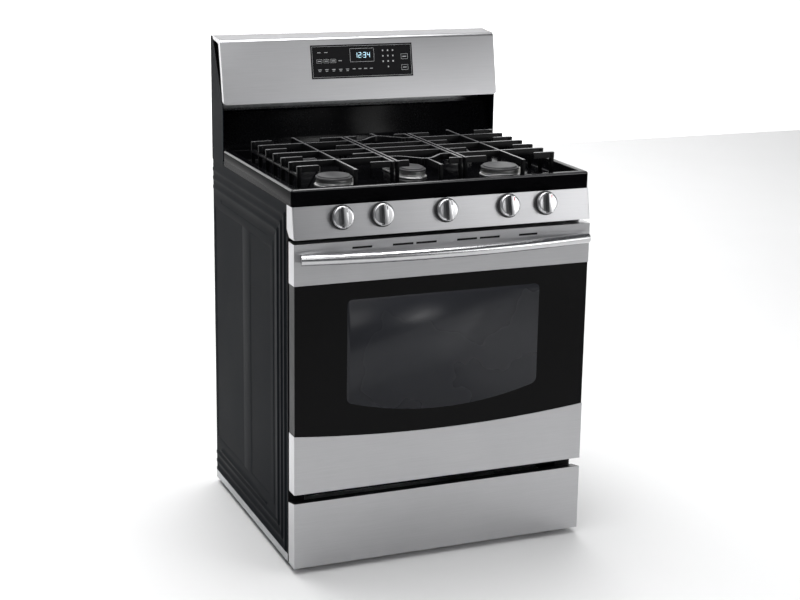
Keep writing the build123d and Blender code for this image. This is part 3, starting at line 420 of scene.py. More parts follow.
def sidePanelPiece(side, name, node):
    d = sidePanel
    bm = bmesh.new()
    front, sheet, relief = doorFace + d["front"] * mm, d["sheet"], d["relief"]
    xs = sorted((side * (halfWidth - relief), side * (halfWidth - d["skin"])))
    addBox(bm, (xs[0], front, sideLow.z), (xs[1], sideHigh.y, panLow.z))
    depths, heights = set(), set()
    for y, z in d["ribs"]:
        depths |= {y, y + d["ribWidth"]}
        heights |= {z, z - d["ribWidth"], 2 * d["middle"] - z, 2 * d["middle"] - z + d["ribWidth"]}
    for y0, y1, z0, z1 in [*d["hollows"], d["lowBar"], *d["fields"]]:
        depths |= {y0, y1}
        heights |= {z0, z1}
    for y in sorted(depths):
        cutAt(bm, 1, doorFace + y * mm)
    for z in sorted(heights):
        cutAt(bm, 2, z * mm)
    for y0, z0 in d["ribs"]:
        width, low, high = d["ribWidth"], 2 * d["middle"] - z0, z0

        def onRib(y, z):
            inside = y > y0 and low < z < high
            return inside and (y < y0 + width or z > high - width or z < low + width)
        pressed(bm, side, onRib, relief * 0.95, d["slope"])
    for field in d["fields"]:
        pressed(bm, side, within(*field), -relief * 0.9, d["fieldSlope"])
    for hollow in d["hollows"]:
        pressed(bm, side, within(*hollow), -relief * 1.4, d["slotSlope"])
    pressed(bm, side, within(*d["lowBar"]), relief * 0.9, d["slope"])
    # folded front and rear edges, lower flange and the tab behind the cooktop
    inner = side * (halfWidth - d["skin"])
    xs = sorted((inner, inner - side * d["flange"]))
    addBox(bm, (xs[0], front, sideLow.z), (xs[1], front + sheet, panLow.z))
    addBox(bm, (xs[0], sideHigh.y - sheet, sideLow.z), (xs[1], sideHigh.y, sideHigh.z))
    addBox(bm, (xs[0], front, sideLow.z), (xs[1], sideHigh.y, sideLow.z + sheet))
    tab = sorted((side * halfWidth, side * (halfWidth - sheet)))
    addBox(bm, (tab[0], panHigh.y + d["tabGap"], panLow.z), (tab[1], sideHigh.y, sideHigh.z))
    makePiece(name, bm, "range_body", finish["charcoalPaint"], [node],
              bevel=0.6 * mm, smoothAngle=50)


sidePanelPiece(-1, "sidePanelLeft", "side_panel_left")
sidePanelPiece(1, "sidePanelRight", "side_panel_right")
print("side panels pressed")

# cooktop
cooktop = {
    "corner": 9 * mm, "leastCorner": 2.5 * mm, "wall": 1.2 * mm,
    # the pressed sheet from its lower edge inwards: set in from the outline, height below the rim
    "section": [(0, 40), (0, 5), (0.4, 3.2), (1.6, 1.5), (3.4, 0.4), (5.5, 0), (17, 0), (18.5, 0.4), (19.6, 1.6),
                (23, 19), (24.2, 23), (26.5, 26), (30, 27.3), (33, 27.5)],
    "zones": [(-345, -118), (-97, 97), (118, 345)],  # pressed burner areas, across
    "zoneDepth": (44, 520), "zoneDrop": 0.9 * mm, "zoneSlope": 6 * mm,
    "skirtTop": 8 * mm, "paintedHighlightBand": 5 * mm,  # below the rim: where the skirt starts and where the painted highlight along the edge ends
}


def roundedLoop(bm, low, high, inset, z, steps=6):
    # a rectangle with rounded corners, set in from its low and high X and Y
    radius = max(cooktop["corner"] - inset, cooktop["leastCorner"])
    loop = []
    for corner, (sx, sy) in enumerate(((1, 1), (-1, 1), (-1, -1), (1, -1))):
        cx = (high.x - inset - radius) if sx > 0 else (low.x + inset + radius)
        cy = (high.y - inset - radius) if sy > 0 else (low.y + inset + radius)
        for k in range(steps + 1):
            a = math.pi / 2 * (corner + k / steps)
            loop.append(bm.verts.new((cx + radius * math.cos(a), cy + radius * math.sin(a), z)))
    return loop


def cooktopPiece():
    d = cooktop
    bm = bmesh.new()
    loops = [roundedLoop(bm, panLow, panHigh, inset * mm, panHigh.z - drop * mm) for inset, drop in d["section"]]
    for lower, upper in zip(loops, loops[1:]):
        for quad in zip(lower, lower[1:] + lower[:1], upper[1:] + upper[:1], upper):
            bm.faces.new(quad)
    floorZ = bm.faces.new(loops[-1]).calc_center_median().z

    def onFloor():
        return [f for f in bm.faces if abs(f.normal.z) > 0.99 and abs(f.calc_center_median().z - floorZ) < 1e-5]

    def onSkirt(f):
        c = f.calc_center_median()
        return min(c.x - panLow.x, panHigh.x - c.x, c.y - panLow.y, panHigh.y - c.y) < d["corner"]
    bm.normal_update()
    low, high = (doorFace + y * mm for y in d["zoneDepth"])
    cuts = [((x * mm, 0, 0), (1, 0, 0)) for pair in d["zones"] for x in pair]
    cuts += [((0, y, 0), (0, 1, 0)) for y in (low, high)]
    for place, across in cuts:
        flat = onFloor()
        geom = flat + list({e for f in flat for e in f.edges}) + list({v for f in flat for v in f.verts})
        bmesh.ops.bisect_plane(bm, geom=geom, plane_co=place, plane_no=across)
    bmesh.ops.recalc_face_normals(bm, faces=bm.faces)
    for x0, x1 in d["zones"]:
        zone = [f for f in onFloor() if x0 * mm < f.calc_center_median().x < x1 * mm
                and low < f.calc_center_median().y < high]
        down = -1 if zone[0].normal.z > 0 else 1
        bmesh.ops.inset_region(bm, faces=zone, thickness=d["zoneSlope"], depth=down * d["zoneDrop"],
                               use_boundary=True, use_even_offset=True)
    bm.normal_update()
    taggedMaterials(bm, lambda f: onSkirt(f) and abs(f.normal.z) < 0.5
                    and f.calc_center_median().z < panHigh.z - d["skirtTop"], 1)
    # the rounded band just below the rim gets the lighter, glossier enamel: painted highlight along the edge
    taggedMaterials(bm, lambda f: onSkirt(f) and 0.2 < abs(f.normal.z) < 0.98
                    and f.calc_center_median().z > panHigh.z - d["paintedHighlightBand"], 2)
    layers = [finish["blackEnamel"], finish["skirtEnamel"], finish["enamelPaintedHighlight"]]
    piece = makePiece("cooktopPan", bm, "range_body", layers, ["cooktop_pan"], smoothAngle=50)
    piece.modifiers.new("evenNormals", "WEIGHTED_NORMAL").keep_sharp = True
    foldSheet(piece, d["wall"])


cooktopPiece()
print("cooktop pressed")

# burners, each with its place across and back and its two half lengths
burner = {
    "places": [(-218, 180, 44, 44), (-205, 412, 25, 25), (218, 180, 47, 47), (205, 412, 33, 33), (0, 270, 33, 85)],
    # slabs from the pan up: set out from the burner's own outline, lowest, highest and edge rounding
    "head": [(3, 0, 3.2, 1.2), (-1, 3, 7.5, 0.8), (-6, 7, 15.8, 0), (-1.5, 14.2, 16, 0.3)],
    "cap": [(0, 16, 21, 1.5), (-4, 20, 24.6, 2.4)],
    "toothGap": 3.4 * mm, "toothInset": 4 * mm,
    "tooth": ((-2.6 * mm, -0.85 * mm, 7.2 * mm), (2.6 * mm, 0.85 * mm, 15.7 * mm)),
}


def ovalPath(across, along, count):
    # points and outward directions evenly spaced round a circle or a straight-sided oval
    reach = along - across
    straight, arc = 2 * reach, math.pi * across
    for step in range(count):
        s = 2 * (straight + arc) * step / count
        side = 1 if s < straight + arc else -1
        s -= 0 if side > 0 else straight + arc
        if s < straight:
            yield Vector((side * across, side * (s - reach), 0)), Vector((side, 0, 0))
        else:
            a = (s - straight) / across
            out = Vector((math.cos(a), math.sin(a), 0)) * side
            yield out * across + Vector((0, side * reach, 0)), out


def ovalSlab(bm, centre, across, along, low, high, edge, steps=48):
    ring = [bm.verts.new(centre + point + Vector((0, 0, low))) for point, _ in ovalPath(across, along, steps)]
    raised = bmesh.ops.extrude_face_region(bm, geom=[bm.faces.new(ring)])["geom"]
    bmesh.ops.translate(bm, vec=(0, 0, high - low), verts=[g for g in raised if isinstance(g, bmesh.types.BMVert)])
    if edge:
        top = next(g for g in raised if isinstance(g, bmesh.types.BMFace))
        bevelEdges(bm, top.edges, edge, 4)


def burnerPieces():
    d = burner
    heads, caps = bmesh.new(), bmesh.new()
    for x, y, across, along in d["places"]:
        centre = Vector((x * mm, doorFace + y * mm, panFloor))
        for bm, slabs in ((heads, d["head"]), (caps, d["cap"])):
            for setOut, low, high, edge in slabs:
                ovalSlab(bm, centre, (across + setOut) * mm, (along + setOut) * mm, low * mm, high * mm, edge * mm)
        across, along = across * mm, along * mm
        count = int((2 * math.pi * across + 4 * (along - across)) / d["toothGap"])
        for point, out in ovalPath(across - d["toothInset"], along - d["toothInset"], count):
            tooth = addBox(heads, *d["tooth"])
            turn = Matrix.Rotation(math.atan2(out.y, out.x), 4, "Z")
            bmesh.ops.transform(heads, matrix=Matrix.Translation(centre + point) @ turn, verts=tooth)
    makePiece("burnerHeads", heads, "range_body", finish["castAluminium"], ["burner_heads"])
    makePiece("burnerCaps", caps, "range_body", finish["capEnamel"], ["burner_caps"])


burnerPieces()
print("burners made")

# grates, in millimetres, depths measured from the door face
grate = {
    "topWidth": 6, "baseWidth": 9, "height": 15, "edge": 1.5 * mm,
    "pitch": 59, "first": 116, "bars": 7, "railX": 214, "outerX": 332, "seamX": 88, "seamGap": 4,
    "front": 39, "back": 500, "fingerGap": 64, "centreFinger": 52,
    "bow": 48, "bowHalf": 66, "bowSteps": 20,
    "foot": (9, 11), "footTop": 0.6, "footTaper": (0.8, 0.72), "footEdge": 1 * mm,
    "endFoot": 6, "outerFoot": 5, "innerRail": 4.5, "barEnd": 2, "railEnd": 4,  # set in from the outline
    "lowRail": (0.5, 8.5, 20, 28),  # nearest and farthest from the outer edge, depth of its top and foot
}
lastBar = grate["first"] + (grate["bars"] - 1) * grate["pitch"]


def addBar(bm, start, end):
    # one cast bar, narrower at its top, running between two points seen from above
    d = grate
    run = Vector((end[0] - start[0], end[1] - start[1], 0)) * mm
    made = bmesh.ops.create_cube(bm, size=1)["verts"]
    for v in made:
        width = d["topWidth"] if v.co.z > 0 else d["baseWidth"]
        v.co = Vector((v.co.x * run.length, v.co.y * width * mm, v.co.z * d["height"] * mm))
    edges = {e for v in made for e in v.link_edges if e.verts[0].co.z > 0 and e.verts[1].co.z > 0}
    middle = Vector(((start[0] + end[0]) / 2 * mm, doorFace + (start[1] + end[1]) / 2 * mm,
                     grateTop - d["height"] / 2 * mm))
    turn = Matrix.Rotation(math.atan2(run.y, run.x), 4, "Z")
    bmesh.ops.transform(bm, matrix=Matrix.Translation(middle) @ turn, verts=made)
    bevelEdges(bm, edges, d["edge"], 2)


def addFoot(bm, x, y, alongX=False):
    # a tapering leg from the bar's end down to the pan
    d = grate
    wide, deep = (size / 2 * mm for size in d["foot"])
    made = addBox(bm, (-wide, -deep, panFloor), (wide, deep, grateTop - d["footTop"] * mm))
    for v in made:
        if v.co.z < (panFloor + grateTop) / 2:
            v.co.x *= d["footTaper"][0]
            v.co.y *= d["footTaper"][1]
    edges = {e for v in made for e in v.link_edges}
    turn = Matrix.Rotation(math.pi / 2 if alongX else 0, 4, "Z")
    bmesh.ops.transform(bm, matrix=Matrix.Translation((x * mm, doorFace + y * mm, 0)) @ turn, verts=made)
    bevelEdges(bm, edges, d["footEdge"], 2)


def endRail(bm, x):
    # the bar along a grate's side, with a leg at each end
    addBar(bm, (x, grate["first"] - grate["railEnd"]), (x, lastBar + grate["railEnd"]))
    for y in (grate["first"], lastBar):
        addFoot(bm, x, y)


def grateMesh(bm, name, node, body):
    # the upper faces get the lighter, glossier cast iron: painted highlight along the bar tops
    bm.normal_update()
    taggedMaterials(bm, lambda f: f.normal.z > 0.6 and f.calc_center_median().z > grateTop - 2 * mm, 1)
    makePiece(name, bm, body, [finish["castIron"], finish["castIronPaintedHighlight"]], [node])


def sideGrate(side, name, node, body):
    d = grate
    bm = bmesh.new()
    inner = side * (d["seamX"] + d["seamGap"] / 2)
    rail, outer = side * d["railX"], side * d["outerX"]
    addBar(bm, (rail, d["front"]), (rail, d["back"]))
    for y in (d["front"] + d["endFoot"], d["back"] - d["endFoot"]):
        addFoot(bm, rail, y)
    endRail(bm, inner + side * d["innerRail"])
    tip = outer - side * d["barEnd"]
    for step in range(d["bars"]):
        y = d["first"] + step * d["pitch"]
        if step % 2:
            addBar(bm, (inner, y), (tip, y))
        else:
            addBar(bm, (inner, y), (rail - side * d["fingerGap"], y))
            addBar(bm, (rail + side * d["fingerGap"], y), (tip, y))
        addFoot(bm, outer - side * d["outerFoot"], y, True)
    near, far, top, foot = d["lowRail"]
    xs = sorted(((outer - side * near) * mm, (outer - side * far) * mm))
    made = addBox(bm, (xs[0], doorFace + d["first"] * mm, grateTop - foot * mm),
                  (xs[1], doorFace + lastBar * mm, grateTop - top * mm))
    bevelEdges(bm, {e for v in made for e in v.link_edges}, d["edge"], 2)
    grateMesh(bm, name, node, body)


def bowedBar(bm, half, y, bow):
    # swings round the centre burner, with a short bar from its crown to the grate's end
    d = grate
    steps, reach = d["bowSteps"], d["bowHalf"]
    swing = [(reach * (2 * k / steps - 1), y + bow * (1 + math.cos(math.pi * (2 * k / steps - 1))) / 2)
             for k in range(steps + 1)]
    curve = [(-half, y), *swing, (half, y)]
    for start, end in zip(curve, curve[1:]):
        addBar(bm, start, end)
    tip, inward = (d["front"], 1) if bow < 0 else (d["back"], -1)
    addBar(bm, (0, min(tip, y + bow)), (0, max(tip, y + bow)))
    addFoot(bm, 0, tip + inward * d["endFoot"])


def centreGrate():
    d = grate
    bm = bmesh.new()
    half = d["seamX"] - d["seamGap"] / 2
    for side in (1, -1):
        endRail(bm, side * (half - d["innerRail"]))
    for step in range(2, d["bars"] - 2):
        y = d["first"] + step * d["pitch"]
        addBar(bm, (-half, y), (half, y))
    bowedBar(bm, half, d["first"] + d["pitch"], -d["bow"])
    bowedBar(bm, half, lastBar - d["pitch"], d["bow"])
    for y in (d["first"], lastBar):
        for side in (-1, 1):
            addBar(bm, (side * d["centreFinger"], y), (side * half, y))
    grateMesh(bm, "grateCentre", "grate_centre", "grate_centre_lift")


sideGrate(-1, "grateLeft", "grate_left", "grate_left_lift")
sideGrate(1, "grateRight", "grate_right", "grate_right_lift")
centreGrate()
print("grates cast")

# knobs, profiles as radius and height above the panel in millimetres
knob = {
    "disc": [(0, 5.2), (25, 5.2), (26, 6.2), (26, 12), (25.2, 13.8), (23.4, 15), (20, 15.2), (0, 15.4)],
    "gripWidth": 13, "gripLength": 48, "gripFoot": 14, "gripTop": 31, "gripTaper": (0.93, 0.95), "gripEdge": 1.3 * mm,
    "pointer": (1.4, 11, 3.8, 20), "pointerSink": 0.4, "pointerLift": 0.15, "redFrom": 4,
    "bezel": [(6, 0), (29, 0), (29, 3.4), (28.4, 4.6), (27.8, 5), (27, 5), (26.7, 4.5), (26.7, 0.9), (6, 0.9), (6, 0)],
}


def knobPlace(joint):
    # the joint's axis is the knob's outward direction
    out = Vector(joint["axis"]).normalized()
    across = Vector((1, 0, 0))
    turn = Matrix((across, out.cross(across), out)).transposed().to_4x4()
    return Matrix.Translation(Vector(joint["pos_m"])) @ turn


def spinProfile(bm, profile, place, steps=72):
    # turns an outline of radius and height round the place's own Z axis
    before = set(bm.verts)
    ring = [bm.verts.new((r * mm, 0, h * mm)) for r, h in profile]
    edges = [bm.edges.new(pair) for pair in zip(ring, ring[1:])]
    bmesh.ops.spin(bm, geom=ring + edges, cent=(0, 0, 0), axis=(0, 0, 1), dvec=(0, 0, 0),
                   angle=2 * math.pi, steps=steps, use_merge=True, use_duplicate=False)
    bmesh.ops.transform(bm, matrix=place, verts=[v for v in bm.verts if v not in before])


def knobPiece(number, joint):
    d = knob
    place = knobPlace(joint)
    bm = bmesh.new()
    spinProfile(bm, d["disc"], place)
    wide, long, foot = d["gripWidth"] / 2 * mm, d["gripLength"] / 2 * mm, d["gripFoot"] * mm
    top = d["gripTop"] * mm
    grip = addBox(bm, (-wide, -long, foot), (wide, long, top))
    for v in grip:
        if v.co.z > foot + 1 * mm:
            v.co.x *= d["gripTaper"][0]
            v.co.y *= d["gripTaper"][1]
    edges = {e for v in grip for e in v.link_edges if max(e.verts[0].co.z, e.verts[1].co.z) > foot + 2 * mm}
    bmesh.ops.transform(bm, matrix=place, verts=grip)
    bevelEdges(bm, edges, d["gripEdge"], 4)
    back = place.inverted()
    turnBack = back.to_3x3()
    bm.normal_update()
    # the grip's upright sides take the darker chrome: painted shade
    taggedMaterials(bm, lambda f: (back @ f.calc_center_median()).z > foot + 1.8 * mm
                    and abs((turnBack @ f.normal).z) < 0.75, 1)
    makePiece(f"knobChrome{number}", bm, f"knob_body_{number}",
              [finish["polishedKnob"], finish["gripPaintedShade"]], [f"knob_{number}"], smoothAngle=40)
    mark = bmesh.new()
    x0, y0, x1, y1 = (value * mm for value in d["pointer"])
    slot = addBox(mark, (x0, y0, top - d["pointerSink"] * mm), (x1, y1, top + d["pointerLift"] * mm))
    bmesh.ops.transform(mark, matrix=place, verts=slot)
    tone = "redMark" if number >= d["redFrom"] else "darkMark"
    makePiece(f"knobPointer{number}", mark, f"knob_body_{number}", finish[tone], bevel=0.2 * mm)


def bezelPiece():
    bm = bmesh.new()
    for joint in knobJoints:
        spinProfile(bm, knob["bezel"], knobPlace(joint))
    makePiece("knobBezels", bm, "range_body", finish["bezelPlastic"], ["knob_bezels"],
              smoothAngle=40)


for number, joint in enumerate(knobJoints, start=1):
    knobPiece(number, joint)
bezelPiece()
print("knobs turned")


# the second steel, lighter, goes on faces turned sideways: painted highlight on the returns
steel = [finish["stainlessFront"], finish["stainlessReturnPaintedHighlight"]]

# knob panel
knobPanel = {"endPlate": 2.5 * mm, "gap": 2.6 * mm, "lowerReturn": 18 * mm, "cutCorner": 17 * mm, "sheet": 1.2 * mm}


def knobPanelPiece():
    d = knobPanel
    bm = bmesh.new()
    made = addBox(bm, (-halfWidth + d["gap"], doorFace, panelLow.z), (halfWidth - d["gap"], panelHigh.y, panLow.z))
    for v in made:
        lower, front = v.co.z < panelLow.z + 1 * mm, v.co.y < doorFace + 1 * mm
        if front and not lower:
            v.co.y += panLow.y - doorFace  # leans back to the cooktop's edge
        if lower and not front:
            v.co.y -= d["lowerReturn"]
    openUp(bm, lambda f: f.normal.y > 0.5)
    piece = makePiece("knobPanel", bm, "range_body", finish["stainlessFront"], ["manifold_panel"])
    foldSheet(piece, d["sheet"])
    roundEdges(piece, 1.6 * mm, 3, 30)


def panelEndPieces():
    # plates closing the ends of the knob panel, with a cut lower rear corner
    d = knobPanel
    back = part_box("panel_end_caps")[1].y
    for side, name in ((-1, "panelEndLeft"), (1, "panelEndRight")):
        bm = bmesh.new()
        xs = sorted((side * halfWidth, side * (halfWidth - d["endPlate"])))
        made = addBox(bm, (xs[0], doorFace, panelLow.z), (xs[1], back, panLow.z))
        for v in made:
            if v.co.y < doorFace + 1 * mm and v.co.z > panelLow.z + 1 * mm:
                v.co.y = panLow.y
        corner = [e for e in bm.edges
                  if all(v.co.y > back - 1 * mm and v.co.z < panelLow.z + 1 * mm for v in e.verts)]
        bevelEdges(bm, corner, d["cutCorner"], 1)
        replaced = ["panel_end_caps"] if side < 0 else []
        # the end plates take the lighter steel: painted highlight
        makePiece(name, bm, "range_body", finish["stainlessReturnPaintedHighlight"], replaced, bevel=0.8 * mm)


knobPanelPiece()
panelEndPieces()
print("knob panel folded")

# door
door = {
    "sheet": 1.0 * mm, "lowerReturn": 7 * mm,
    "vents": [(26, 78), (85, 137), (188, 237)], "ventLow": 19 * mm, "ventHigh": 14 * mm,  # below the door's top
    "shadeSheetGap": 1.5 * mm, "shadeSheetRim": 5 * mm,
    "slats": 13, "slatHalf": Vector((1.2, 12, 1.6)) * mm, "slatTurn": 22, "slatIn": 1.5 * mm, "slatBack": 23 * mm,
    "slatRise": 6 * mm, "slatSpare": 14 * mm,
    "archSag": 20 * mm, "archSteps": 24,
    "window": {"halfWidth": 0.248, "top": 0.668, "corner": 0.418, "bottom": 0.381, "round": 12 * mm,
               "lift": 0.12 * mm},
}


def archHeight(x, halfSpan, sag):
    # height above the lowest point of a shallow arc that rises by sag at its ends
    radius = (halfSpan ** 2 + sag ** 2) / (2 * sag)
    return radius - math.sqrt(radius ** 2 - x ** 2)


def trimMesh(bm, name, node, rounding, steps):
    # faces turned sideways take the lighter steel: painted highlight
    taggedMaterials(bm, lambda f: abs(f.normal.x) > 0.5, 1)
    piece = makePiece(name, bm, "door", steel, [node])
    foldSheet(piece, door["sheet"])
    roundEdges(piece, rounding, steps, 50)


def lowerTrimPiece():
    d = door
    bm = bmesh.new()
    addBox(bm, lowerLow, lowerHigh)
    openUp(bm, lambda f: f.normal.y > 0.5 or f.normal.z > 0.5)
    for k in range(1, d["archSteps"]):
        cutAt(bm, 0, halfWidth * (2 * k / d["archSteps"] - 1))
    for v in bm.verts:
        if v.co.z > lowerHigh.z - 1e-5 and v.co.y < doorFace + 1e-5:
            v.co.z = lowerHigh.z - d["archSag"] + archHeight(v.co.x, halfWidth, d["archSag"])
        elif v.co.z < lowerLow.z + 1e-5 and v.co.y > doorFace + 1e-5 and abs(v.co.x) < halfWidth - 1 * mm:
            v.co.y = doorFace + d["lowerReturn"]
    trimMesh(bm, "doorLowerTrim", "door_bottom_trim", 1.4 * mm, 3)


def upperTrimPiece():
    d = door
    bm = bmesh.new()
    addBox(bm, upperLow, upperHigh)
    openUp(bm, lambda f: f.normal.y > 0.5 or f.normal.z < -0.5)
    ventLow, ventHigh = upperHigh.z - d["ventLow"], upperHigh.z - d["ventHigh"]
    for x in sorted(side * x * mm for pair in d["vents"] for x in pair for side in (-1, 1)):
        cutAt(bm, 0, x)
    for z in (ventLow, ventHigh):
        cutAt(bm, 2, z)

    def isVent(f):
        c = f.calc_center_median()
        return (f.normal.y < -0.9 and ventLow < c.z < ventHigh
                and any(low * mm < abs(c.x) < high * mm for low, high in d["vents"]))
    openUp(bm, isVent)
    trimMesh(bm, "doorUpperTrim", "door_top_trim", 0.7 * mm, 2)
    slats = bmesh.new()
    pitch = (upperHigh.z - upperLow.z - d["slatSpare"]) / (d["slats"] - 1)
    for side in (-1, 1):
        for k in range(d["slats"]):
            place = Matrix.Translation((side * (halfWidth - d["slatIn"]), doorFace + d["slatBack"],
                                        upperLow.z + d["slatRise"] + k * pitch))
            made = addBox(slats, -d["slatHalf"], d["slatHalf"])
            bmesh.ops.transform(slats, matrix=place @ Matrix.Rotation(math.radians(d["slatTurn"]), 4, "X"), verts=made)
    # the end vent slats take the lighter steel: painted highlight
    makePiece("doorEndVents", slats, "door", finish["stainlessReturnPaintedHighlight"], bevel=0.5 * mm)
    # painted shade: a dark sheet close behind the vent slots, standing in for the shade inside the door
    shade = bmesh.new()
    reach = max(high for _, high in d["vents"]) * mm + 6 * mm
    y = doorFace + d["sheet"] + d["shadeSheetGap"]
    addBox(shade, (-reach, y, ventLow - d["shadeSheetRim"]), (reach, y + 1 * mm, ventHigh + d["shadeSheetRim"]))
    makePiece("doorVentPaintedShade", shade, "door", finish["blackPaint"], bevel=0.3 * mm)


def doorGlassPieces():
    low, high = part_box("door_glass")
    bm = bmesh.new()
    addBox(bm, low, high)
    makePiece("doorGlassPane", bm, "door", finish["doorGlass"], ["door_glass"], bevel=0.5 * mm)
    d = door["window"]
    bm = bmesh.new()
    steps = 24
    y, half = low.y - d["lift"], d["halfWidth"]
    outline = [(x, y, d["bottom"] + archHeight(x, half, d["corner"] - d["bottom"]))
               for x in (half * (2 * k / steps - 1) for k in range(steps + 1))]
    outline += [(half, y, d["top"]), (-half, y, d["top"])]
    face = bm.faces.new([bm.verts.new(point) for point in outline])
    sharp = [v for v in face.verts if abs(abs(v.co.x) - half) < 1e-6]
    bmesh.ops.bevel(bm, geom=sharp, offset=d["round"], segments=6, affect="VERTICES", profile=0.5, material=-1)
    piece = makePiece("doorWindowTint", bm, "door", finish["windowTint"])
    foldSheet(piece, d["lift"])


handle = {"postX": 352 * mm, "postRadius": 8 * mm, "halfLength": 366 * mm, "endGap": 1.5 * mm}


def handlePiece():
    # a round bar on a shallow bow, its ends near the door and its middle furthest out
    d = handle
    low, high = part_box("door_handle")
    radius, middleZ = (high.z - low.z) / 2, (high.z + low.z) / 2
    endY, middleY = doorFace - radius - d["endGap"], low.y + radius
    sag = endY - middleY
    bow = (d["halfLength"] ** 2 + sag ** 2) / (2 * sag)
    angle = math.asin(d["halfLength"] / bow)
    bm = bmesh.new()
    start = axisMatrix((-d["halfLength"], endY, middleZ), (math.cos(angle), -math.sin(angle), 0))
    ring = bmesh.ops.create_circle(bm, cap_ends=False, segments=40, radius=radius, matrix=start)["verts"]
    bmesh.ops.spin(bm, geom=ring + list({e for v in ring for e in v.link_edges}), cent=(0, middleY + bow, middleZ),
                   axis=(0, 0, 1), dvec=(0, 0, 0), angle=2 * angle, steps=72, use_merge=False, use_duplicate=False)
    for side in (-1, 1):
        out = (side * math.cos(angle), math.sin(angle), 0)
        spinProfile(bm, [(0, 0), (radius / mm, 0)], axisMatrix((side * d["halfLength"], endY, middleZ), out), 40)
        post = side * d["postX"]
        addRod(bm, (post, doorFace - radius, middleZ), (post, doorFace, middleZ), d["postRadius"])
    makePiece("doorHandleBar", bm, "door", finish["stainlessHandle"], ["door_handle"],
              smoothAngle=40)


lowerTrimPiece()
upperTrimPiece()
doorGlassPieces()
handlePiece()
print("door fitted")

# drawer
drawer = {"topDrop": 9 * mm, "sheet": 1 * mm, "edge": 1.8 * mm}


def drawerPiece():
    d = drawer
    bm = bmesh.new()
    for v in addBox(bm, drawerLow, drawerHigh):
        if v.co.z > drawerHigh.z - 1e-5 and v.co.y > doorFace + 1 * mm:
            v.co.z -= d["topDrop"]
    openUp(bm, lambda f: f.normal.y > 0.5)
    # faces turned sideways take the lighter steel: painted highlight
    taggedMaterials(bm, lambda f: abs(f.normal.x) > 0.5, 1)
    taggedMaterials(bm, lambda f: f.normal.z > 0.5, 2)
    piece = makePiece("drawerFront", bm, "drawer", [*steel, finish["blackPaint"]], ["drawer_front"])
    foldSheet(piece, d["sheet"])
    roundEdges(piece, d["edge"], 3, 50)


drawerPiece()
print("drawer fitted")

# backguard
guard = {
    "corner": 7 * mm, "bend": 8 * mm, "sheet": 1.2 * mm, "edge": 0.8 * mm,
    "lean": 32 * mm, "bendDrop": 6 * mm, "lowerReturn": 14 * mm,
    # the riser's profile: back from its face, up from its foot, before the run to its top rear edge
    "riser": [(0, 0), (0, 46), (12, 58)], "riserTop": 27 * mm, "riserFold": 4 * mm,
}
bendZ = cadHigh.z - guard["bendDrop"]


def guardPanelPiece():
    d = guard
    bm = bmesh.new()
    for v in addBox(bm, (-halfWidth, guardLow.y, guardLow.z), (halfWidth, guardHigh.y, cadHigh.z)):
        front, upper = v.co.y < guardLow.y + 1 * mm, v.co.z > guardLow.z + 1 * mm
        if front and upper:
            v.co.y += d["lean"]
            v.co.z = bendZ
        if not front and not upper:
            v.co.y = guardLow.y + d["lowerReturn"]
    openUp(bm, lambda f: f.normal.y > 0.5)
    # faces turned sideways take the lighter steel: painted highlight
    taggedMaterials(bm, lambda f: abs(f.normal.x) > 0.5, 1)
    lower = [e for e in bm.edges if all(v.co.z < guardLow.z + 1 * mm for v in e.verts)
             and abs(e.verts[0].co.y - e.verts[1].co.y) > 1 * mm]
    bevelEdges(bm, lower, d["corner"], 4)
    top = [e for e in bm.edges if all(abs(v.co.z - bendZ) < 1e-5 for v in e.verts)]
    bevelEdges(bm, top, d["bend"], 5)
    bm.normal_update()
    # the flat top faces take the darker steel: painted shade
    taggedMaterials(bm, lambda f: abs(f.normal.z) > 0.8 and f.calc_center_median().z > guardHigh.z - 8 * mm, 2)
    piece = makePiece("guardPanel", bm, "range_body", [*steel, finish["stainlessPaintedShadeTop"]],
                      ["backguard_panel"], smoothAngle=30)
    foldSheet(piece, d["sheet"])
    roundEdges(piece, d["edge"], 2, 50)


def riserPiece():
    d = guard
    bm = bmesh.new()
    outline = [(riserLow.y + y * mm, riserLow.z + z * mm) for y, z in d["riser"]]
    outline += [(riserLow.y + d["riserTop"], riserHigh.z), (riserHigh.y, riserHigh.z)]
    row = [bm.verts.new((riserLow.x, *point)) for point in outline]
    made = bmesh.ops.extrude_edge_only(bm, edges=[bm.edges.new(pair) for pair in zip(row, row[1:])])["geom"]
    bmesh.ops.translate(bm, vec=(riserHigh.x - riserLow.x, 0, 0),
                        verts=[g for g in made if isinstance(g, bmesh.types.BMVert)])
    folds = [e for e in bm.edges if len(e.link_faces) == 2]
    bevelEdges(bm, folds, d["riserFold"], 4)
    piece = makePiece("riser", bm, "range_body", finish["riserEnamel"], ["backguard_riser"])
    foldSheet(piece, d["sheet"])


